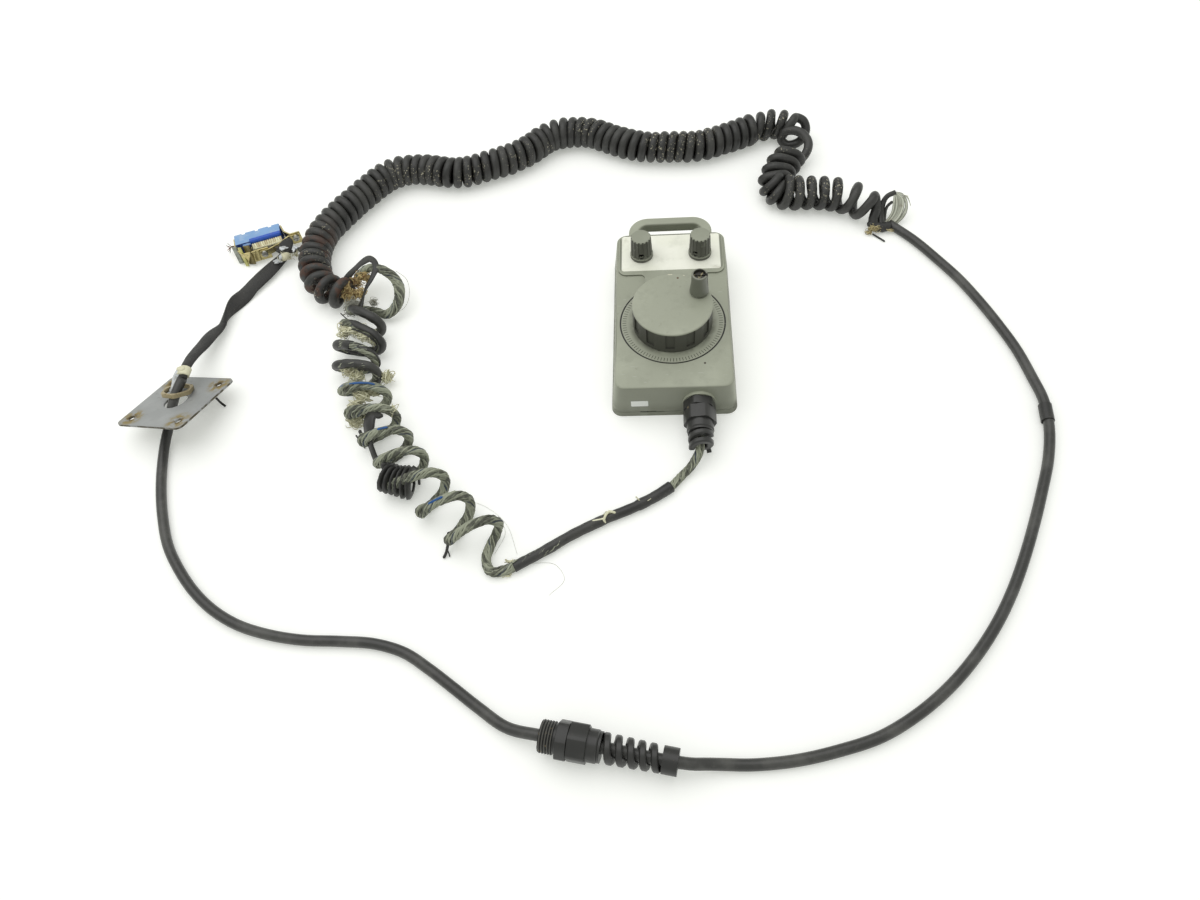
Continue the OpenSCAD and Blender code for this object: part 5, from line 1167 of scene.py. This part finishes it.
class PULSE_OT_finishes(Operator):
    """Gives every CAD piece its finish"""
    bl_idname = "pulse.finishes"
    bl_label = "CAD finishes"

    def execute(self, context):
        case = case_finish()
        wheel = wheel_finish()
        nylon = moulded("gland_nylon", (0.020, 0.020, 0.019), 0.33, soil=0.3, dirt=(0.16, 0.13, 0.08))
        nylon.cloud((50, 4), (0.5, 0.7, 0, 0.5), (0.04, 0.04, 0.037))
        nylon.layer(nylon.near((0.0105, -0.0905, 0.0225), 0.0015, 0.4), (0.30, 0.23, 0.12), 0.8)
        board = moulded("board_green", (0.02, 0.10, 0.045), 0.4)
        rubber = moulded("seal_rubber", (0.016, 0.016, 0.016), 0.7)
        cream = moulded("header_cream", (0.6, 0.56, 0.42), 0.5)
        white = moulded("sticker_paper", (0.80, 0.82, 0.78), 0.55, soil=0.15, dirt=(0.4, 0.4, 0.34))
        sheet = moulded("switch_black", (0.03, 0.03, 0.03), 0.4)
        steel = metal("zinc_steel", (0.5, 0.5, 0.47))
        well = moulded("dirty_screw", (0.022, 0.020, 0.015), 0.5)
        well.cloud((520, 3), (0.56, 0.62), (0.34, 0.30, 0.17), 0.4)
        black = metal("blackened_screw", (0.010, 0.010, 0.010), 0.6, (0.02, 0.02, 0.02), 0.5)
        brass = metal("dull_brass", (0.45, 0.38, 0.24), 0.42, (0.13, 0.10, 0.05), 0.7)
        gold = metal("gold_steel", (0.60, 0.52, 0.26), 0.34, (0.10, 0.085, 0.04), 0.6)
        splice = jacket_finish("splice_tape")
        plain = {
            case: "front_case rear_cover hanging_loop",
            wheel: "handwheel",
            grip_finish(): "crank_grip",
            knob_finish(): "axis_knob range_knob",
            label_finish(): "label_plate",
            white.material: "asset_sticker",
            nylon.material: "gland_body gland_locknut gland_nut gland_guard inline_body "
                            "inline_nut inline_guard",
            rubber.material: "gland_seal inline_seal case_gasket",
            sheet.material: "axis_switch range_switch encoder_sensor encoder_body",
            splice: "cord_splice",
            steel.material: "case_screws board_screws encoder_screws encoder_bearings encoder_can "
                            "switch_nuts wheel_shaft encoder_disc axis_shaft range_shaft plug_screws",
            black.material: "wheel_set_screws axis_set_screw range_set_screw",
            well.material: "crank_screw",
            brass.material: "plate_locknut",
            gold.material: "plug_contacts plug_brackets",
            plug_finish(): "plug_insulator",
            board.material: "circuit_board",
            cream.material: "board_header",
            plate_finish(): "mounting_plate",
        }
        soft = {"front_case": 0.5, "rear_cover": 0.4, "hanging_loop": 0.4, "handwheel": 0.3,
                "gland_body": 0.4, "gland_nut": 0.4, "inline_body": 0.4, "inline_nut": 0.4,
                "plug_insulator": 0.4, "plate_locknut": 0.3,
                "plug_brackets": 0.2, "label_plate": 0.2, "crank_grip": 0.2, "axis_knob": 0.25,
                "range_knob": 0.25}
        for material, nodes in plain.items():
            for node in nodes.split():
                dress(node, material, soft.get(node, 0) * MM)
        return {"FINISHED"}


def from_plug(points):
    """Points given along the plug's own axes, carried to its place."""
    across = (math.cos(PLUG_TURN), math.sin(PLUG_TURN), 0)
    back = (-math.sin(PLUG_TURN), math.cos(PLUG_TURN), 0)
    return np.array(points) @ np.array([across, back, (0, 0, 1)]) + PLUG_AT


def plug_wires():
    """Wires bent from the plug's rear to its clamp, and a fan of fine ones at its left end."""
    wires = Skin()
    for k in range(11):
        x = -15.5 + 2.9 * k
        z = 9.0 if k % 2 else 5.0
        bow = 1.6 * math.sin(1.9 * k)
        hair(wires, from_plug([(x, -8.6, z), (x + 0.6, -11.5, z + 1.2),
                               (0.45 * x + 6 + bow, -14.5, 9 + 0.4 * bow),
                               (13 + 0.1 * x, -18, 9.5 + 0.25 * bow), (17, -20.5, 9 + 0.15 * k)]),
             0.72, k)
    for k in range(7):
        hair(wires, from_plug([(-21, -1 + 0.5 * k, 8 + 0.5 * k), (-25, 0.4 * k, 9 - 0.6 * k),
                               (-29 - 0.9 * (k % 3), -2 + 1.6 * k, 4 + 0.5 * k)]), 0.28, 20 + k)
    f = Finish("plug_wires", (0.10, 0.085, 0.06), 0.5)
    chance = f.strand()
    for low, colour in ((0.30, (0.38, 0.16, 0.12)), (0.52, (0.03, 0.028, 0.026)),
                        (0.80, (0.30, 0.29, 0.13))):
        f.layer(f.span(chance, low, low + 0.04), colour)
    f.cloud((300, 4), (0.5, 0.68, 0, 0.6), (0.10, 0.085, 0.05), 0.7)
    f.bump(f.noise(1200, 2), 0.00005)
    wires.make("plug_wires", f.material, "conductors")


def plug_rows():
    """The plug's deep blue ridge, and the row of pale contacts on their bed behind it."""
    row = from_plug([(-7, -6.4, 13.6), (7, -6.4, 13.6), (20.5, -6.4, 13.6)])
    ridge = Skin().add(tube(smooth_line(row, 1 * MM), 2.4 * MM, 20))
    blue = moulded("ridge_blue", (0.014, 0.085, 0.48), 0.30, soil=0.15)
    ridge.make("plug_ridge", blue.material, "plug_blue")
    cups = Skin()
    for k in range(14):
        x = -5.5 + 1.9 * k
        route = from_plug([(x, -9.2, 12.6), (x + 0.4, -12.0, 12.2), (x + 0.8, -14.8, 10.8)])
        bar(cups, route, 0.95, 8, k, 0.7)
    bed = from_plug([(-6, -11.8, 10.6), (6, -11.8, 10.6), (20, -11.8, 10.6)])
    cups.add(sweep(smooth_line(bed, 2 * MM), box_profile(3.2, 1.2), MM, UP), tag=40)
    cream = fibre_finish("solder_cream", (0.78, 0.76, 0.54), (0.52, 0.44, 0.26), (0.30, 0.12, 0.09), 0.2)
    cups.make("contact_row", cream, "contact")


def clamp_plates():
    """Upright plates of the clamp at the plug's left end: grey, yellow, a dark brown one that is painted
    shadow in the clamp's middle, and the ear.
    """
    facing = np.array([-0.34, -0.94, 0])
    for name, top, foot, half, colour in (
            ("clamp_grey", (-387.3, 101.5, 14.5), (-384.0, 95.0, 1.2), 2.9, (0.30, 0.32, 0.27)),
            ("clamp_yellow", (-380.9, 98.5, 16.5), (-377.9, 91.5, 0.8), 2.0, (0.66, 0.64, 0.22)),
            # A dark brown plate as painted shadow in the middle of the clamp
            ("clamp_painted_shadow", (-375.2, 100.5, 16.5), (-373.0, 93.0, 1.6), 3.7, (0.22, 0.18, 0.07)),
            ("clamp_ear", (-367.2, 98.5, 12.6), (-366.0, 94.3, 5.0), 3.1, (0.42, 0.36, 0.16))):
        line = smooth_line([top, np.add(top, foot) / 2, foot], 0.8 * MM)
        plate = Skin().add(sweep(line, box_profile(1.0, 0.22), half * MM, facing))
        f = Finish(name, colour, 0.35, 0.3)
        f.cloud((140, 4, 0.6), (0.42, 0.66, 0, 0.7), shade(colour, 0.35), 0.6)
        f.bump(f.noise(600, 2), 0.00003)
        plate.make(name, f.material, "bracket_gold")


def torn_scraps():
    """Two torn scraps of jacket: at the pendant's gland and beside the mounting plate."""
    scraps = Skin()
    for points, half in (([(20, -112, 11), (22, -114, 8.5), (24, -116.5, 6), (24.5, -118.5, 4.5)], 1.7),
                         ([(-365, -58, 6), (-362, -60.5, 3), (-358, -63, 1)], 0.9)):
        line = smooth_line(points, 0.8 * MM)
        wave = 0.5 * np.sin(lengths(line) / 0.002)
        scraps.add(sweep(line, box_profile(1.0, 0.4), half * MM, UP, wave))
    scraps.make("torn_scraps", jacket_finish("scrap_jacket"), "cord_black")


class PULSE_OT_small_parts(Operator):
    """The plug's wires, ridge, contacts and clamp plates, and two torn scraps"""
    bl_idname = "pulse.small_parts"
    bl_label = "Small parts"

    def execute(self, context):
        plug_wires()
        plug_rows()
        clamp_plates()
        torn_scraps()
        return {"FINISHED"}


# ---- Stage ----

# The camera's bearing, dip and roll, its place in metres, its focal length and its sensor's width
BEARING, DIP, ROLL = -0.144777, 1.002439, -0.143549
CAMERA_AT = (-0.00579, -0.45634, 0.546)
LENS, SENSOR = 26.074, 36.0
FLOOR_HALF = 4.0


class PULSE_OT_stage(Operator):
    """Pale floor, soft light and the camera"""
    bl_idname = "pulse.stage"
    bl_label = "Stage"

    def execute(self, context):
        scene = context.scene
        pale = Finish("pale_floor", (0.80, 0.80, 0.80), 0.8)
        rays = pale.node("LightPath").outputs
        seen = pale.math("MAXIMUM", rays["Is Camera Ray"], rays["Is Glossy Ray"])
        seen = pale.math("MAXIMUM", seen, rays["Is Transmission Ray"])
        pale.shader.inputs["Emission Color"].default_value = (0.97, 1.0, 0.93, 1.0)
        pale.plug(pale.shader.inputs["Emission Strength"], pale.math("MULTIPLY", seen, 0.30))
        mesh = bpy.data.meshes.new("floor")
        corners = [(x * FLOOR_HALF, y * FLOOR_HALF, 0) for x, y in ((-1, -1), (1, -1), (1, 1), (-1, 1))]
        mesh.from_pydata(corners, [], [(0, 1, 2, 3)])
        floor = bpy.data.objects.new("floor", mesh)
        scene.collection.objects.link(floor)
        mesh.materials.append(pale.material)
        world = bpy.data.worlds.new("studio")
        scene.world = world
        world.use_nodes = True
        sky = world.node_tree.nodes["Background"].inputs
        sky["Color"].default_value = (0.985, 1, 0.95, 1)
        sky["Strength"].default_value = 0.72
        lamp = bpy.data.lights.new("soft_box", "AREA")
        lamp.shape = "RECTANGLE"
        lamp.size, lamp.size_y = 1.8, 1.4
        lamp.energy = 8.5
        lamp.color = (1.0, 0.985, 1.0)
        box = bpy.data.objects.new("soft_box", lamp)
        box.location = (-0.35, 0.25, 1.25)
        box.rotation_euler = (math.radians(-12), math.radians(-16), 0)
        scene.collection.objects.link(box)
        scene.view_settings.view_transform = "Standard"
        self.camera(scene)
        return {"FINISHED"}

    def camera(self, scene):
        """Camera from its place, its bearing, its dip and its roll."""
        ahead = np.array([math.sin(BEARING) * math.cos(DIP), math.cos(BEARING) * math.cos(DIP),
                          -math.sin(DIP)])
        right = np.array([math.cos(BEARING), -math.sin(BEARING), 0])
        above = np.cross(right, ahead)
        x = math.cos(ROLL) * right + math.sin(ROLL) * above
        y = -math.sin(ROLL) * right + math.cos(ROLL) * above
        data = bpy.data.cameras.new("camera")
        data.sensor_width, data.lens = SENSOR, LENS
        data.clip_start, data.clip_end = 0.02, 20
        camera = bpy.data.objects.new("camera", data)
        camera.matrix_world = Matrix([(x[i], y[i], -ahead[i], CAMERA_AT[i]) for i in range(3)]
                                     + [(0, 0, 0, 1)])
        scene.collection.objects.link(camera)
        scene.camera = camera


# ---- Panel and registration ----

BUILDERS = (PULSE_OT_stage, PULSE_OT_bare_bundle, PULSE_OT_curly_cord, PULSE_OT_smooth_cord,
            PULSE_OT_sleeve, PULSE_OT_small_parts, PULSE_OT_finishes)


class PULSE_PT_builder(Panel):
    """Lists the sizes and the builders"""
    bl_label = "Pulse Generator"
    bl_idname = "PULSE_PT_builder"
    bl_space_type = "VIEW_3D"
    bl_region_type = "UI"
    bl_category = "Pulse Generator"

    def draw(self, context):
        for group in (context.scene.pulse_cord, context.scene.pulse_case):
            for name in group.__annotations__:
                self.layout.prop(group, name)
        for builder in BUILDERS:
            self.layout.operator(builder.bl_idname)


CLASSES = (PulseCordSettings, PulseCaseSettings, *BUILDERS, PULSE_PT_builder)


def register():
    for c in CLASSES:
        bpy.utils.register_class(c)
    bpy.types.Scene.pulse_cord = PointerProperty(type=PulseCordSettings)
    bpy.types.Scene.pulse_case = PointerProperty(type=PulseCaseSettings)


def unregister():
    del bpy.types.Scene.pulse_case
    del bpy.types.Scene.pulse_cord
    for c in reversed(CLASSES):
        bpy.utils.unregister_class(c)


def main():
    """Registers the add-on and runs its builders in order."""
    register()
    for builder in BUILDERS:
        group, name = builder.bl_idname.split(".")
        getattr(getattr(bpy.ops, group), name)()


if __name__ == "__main__":
    main()
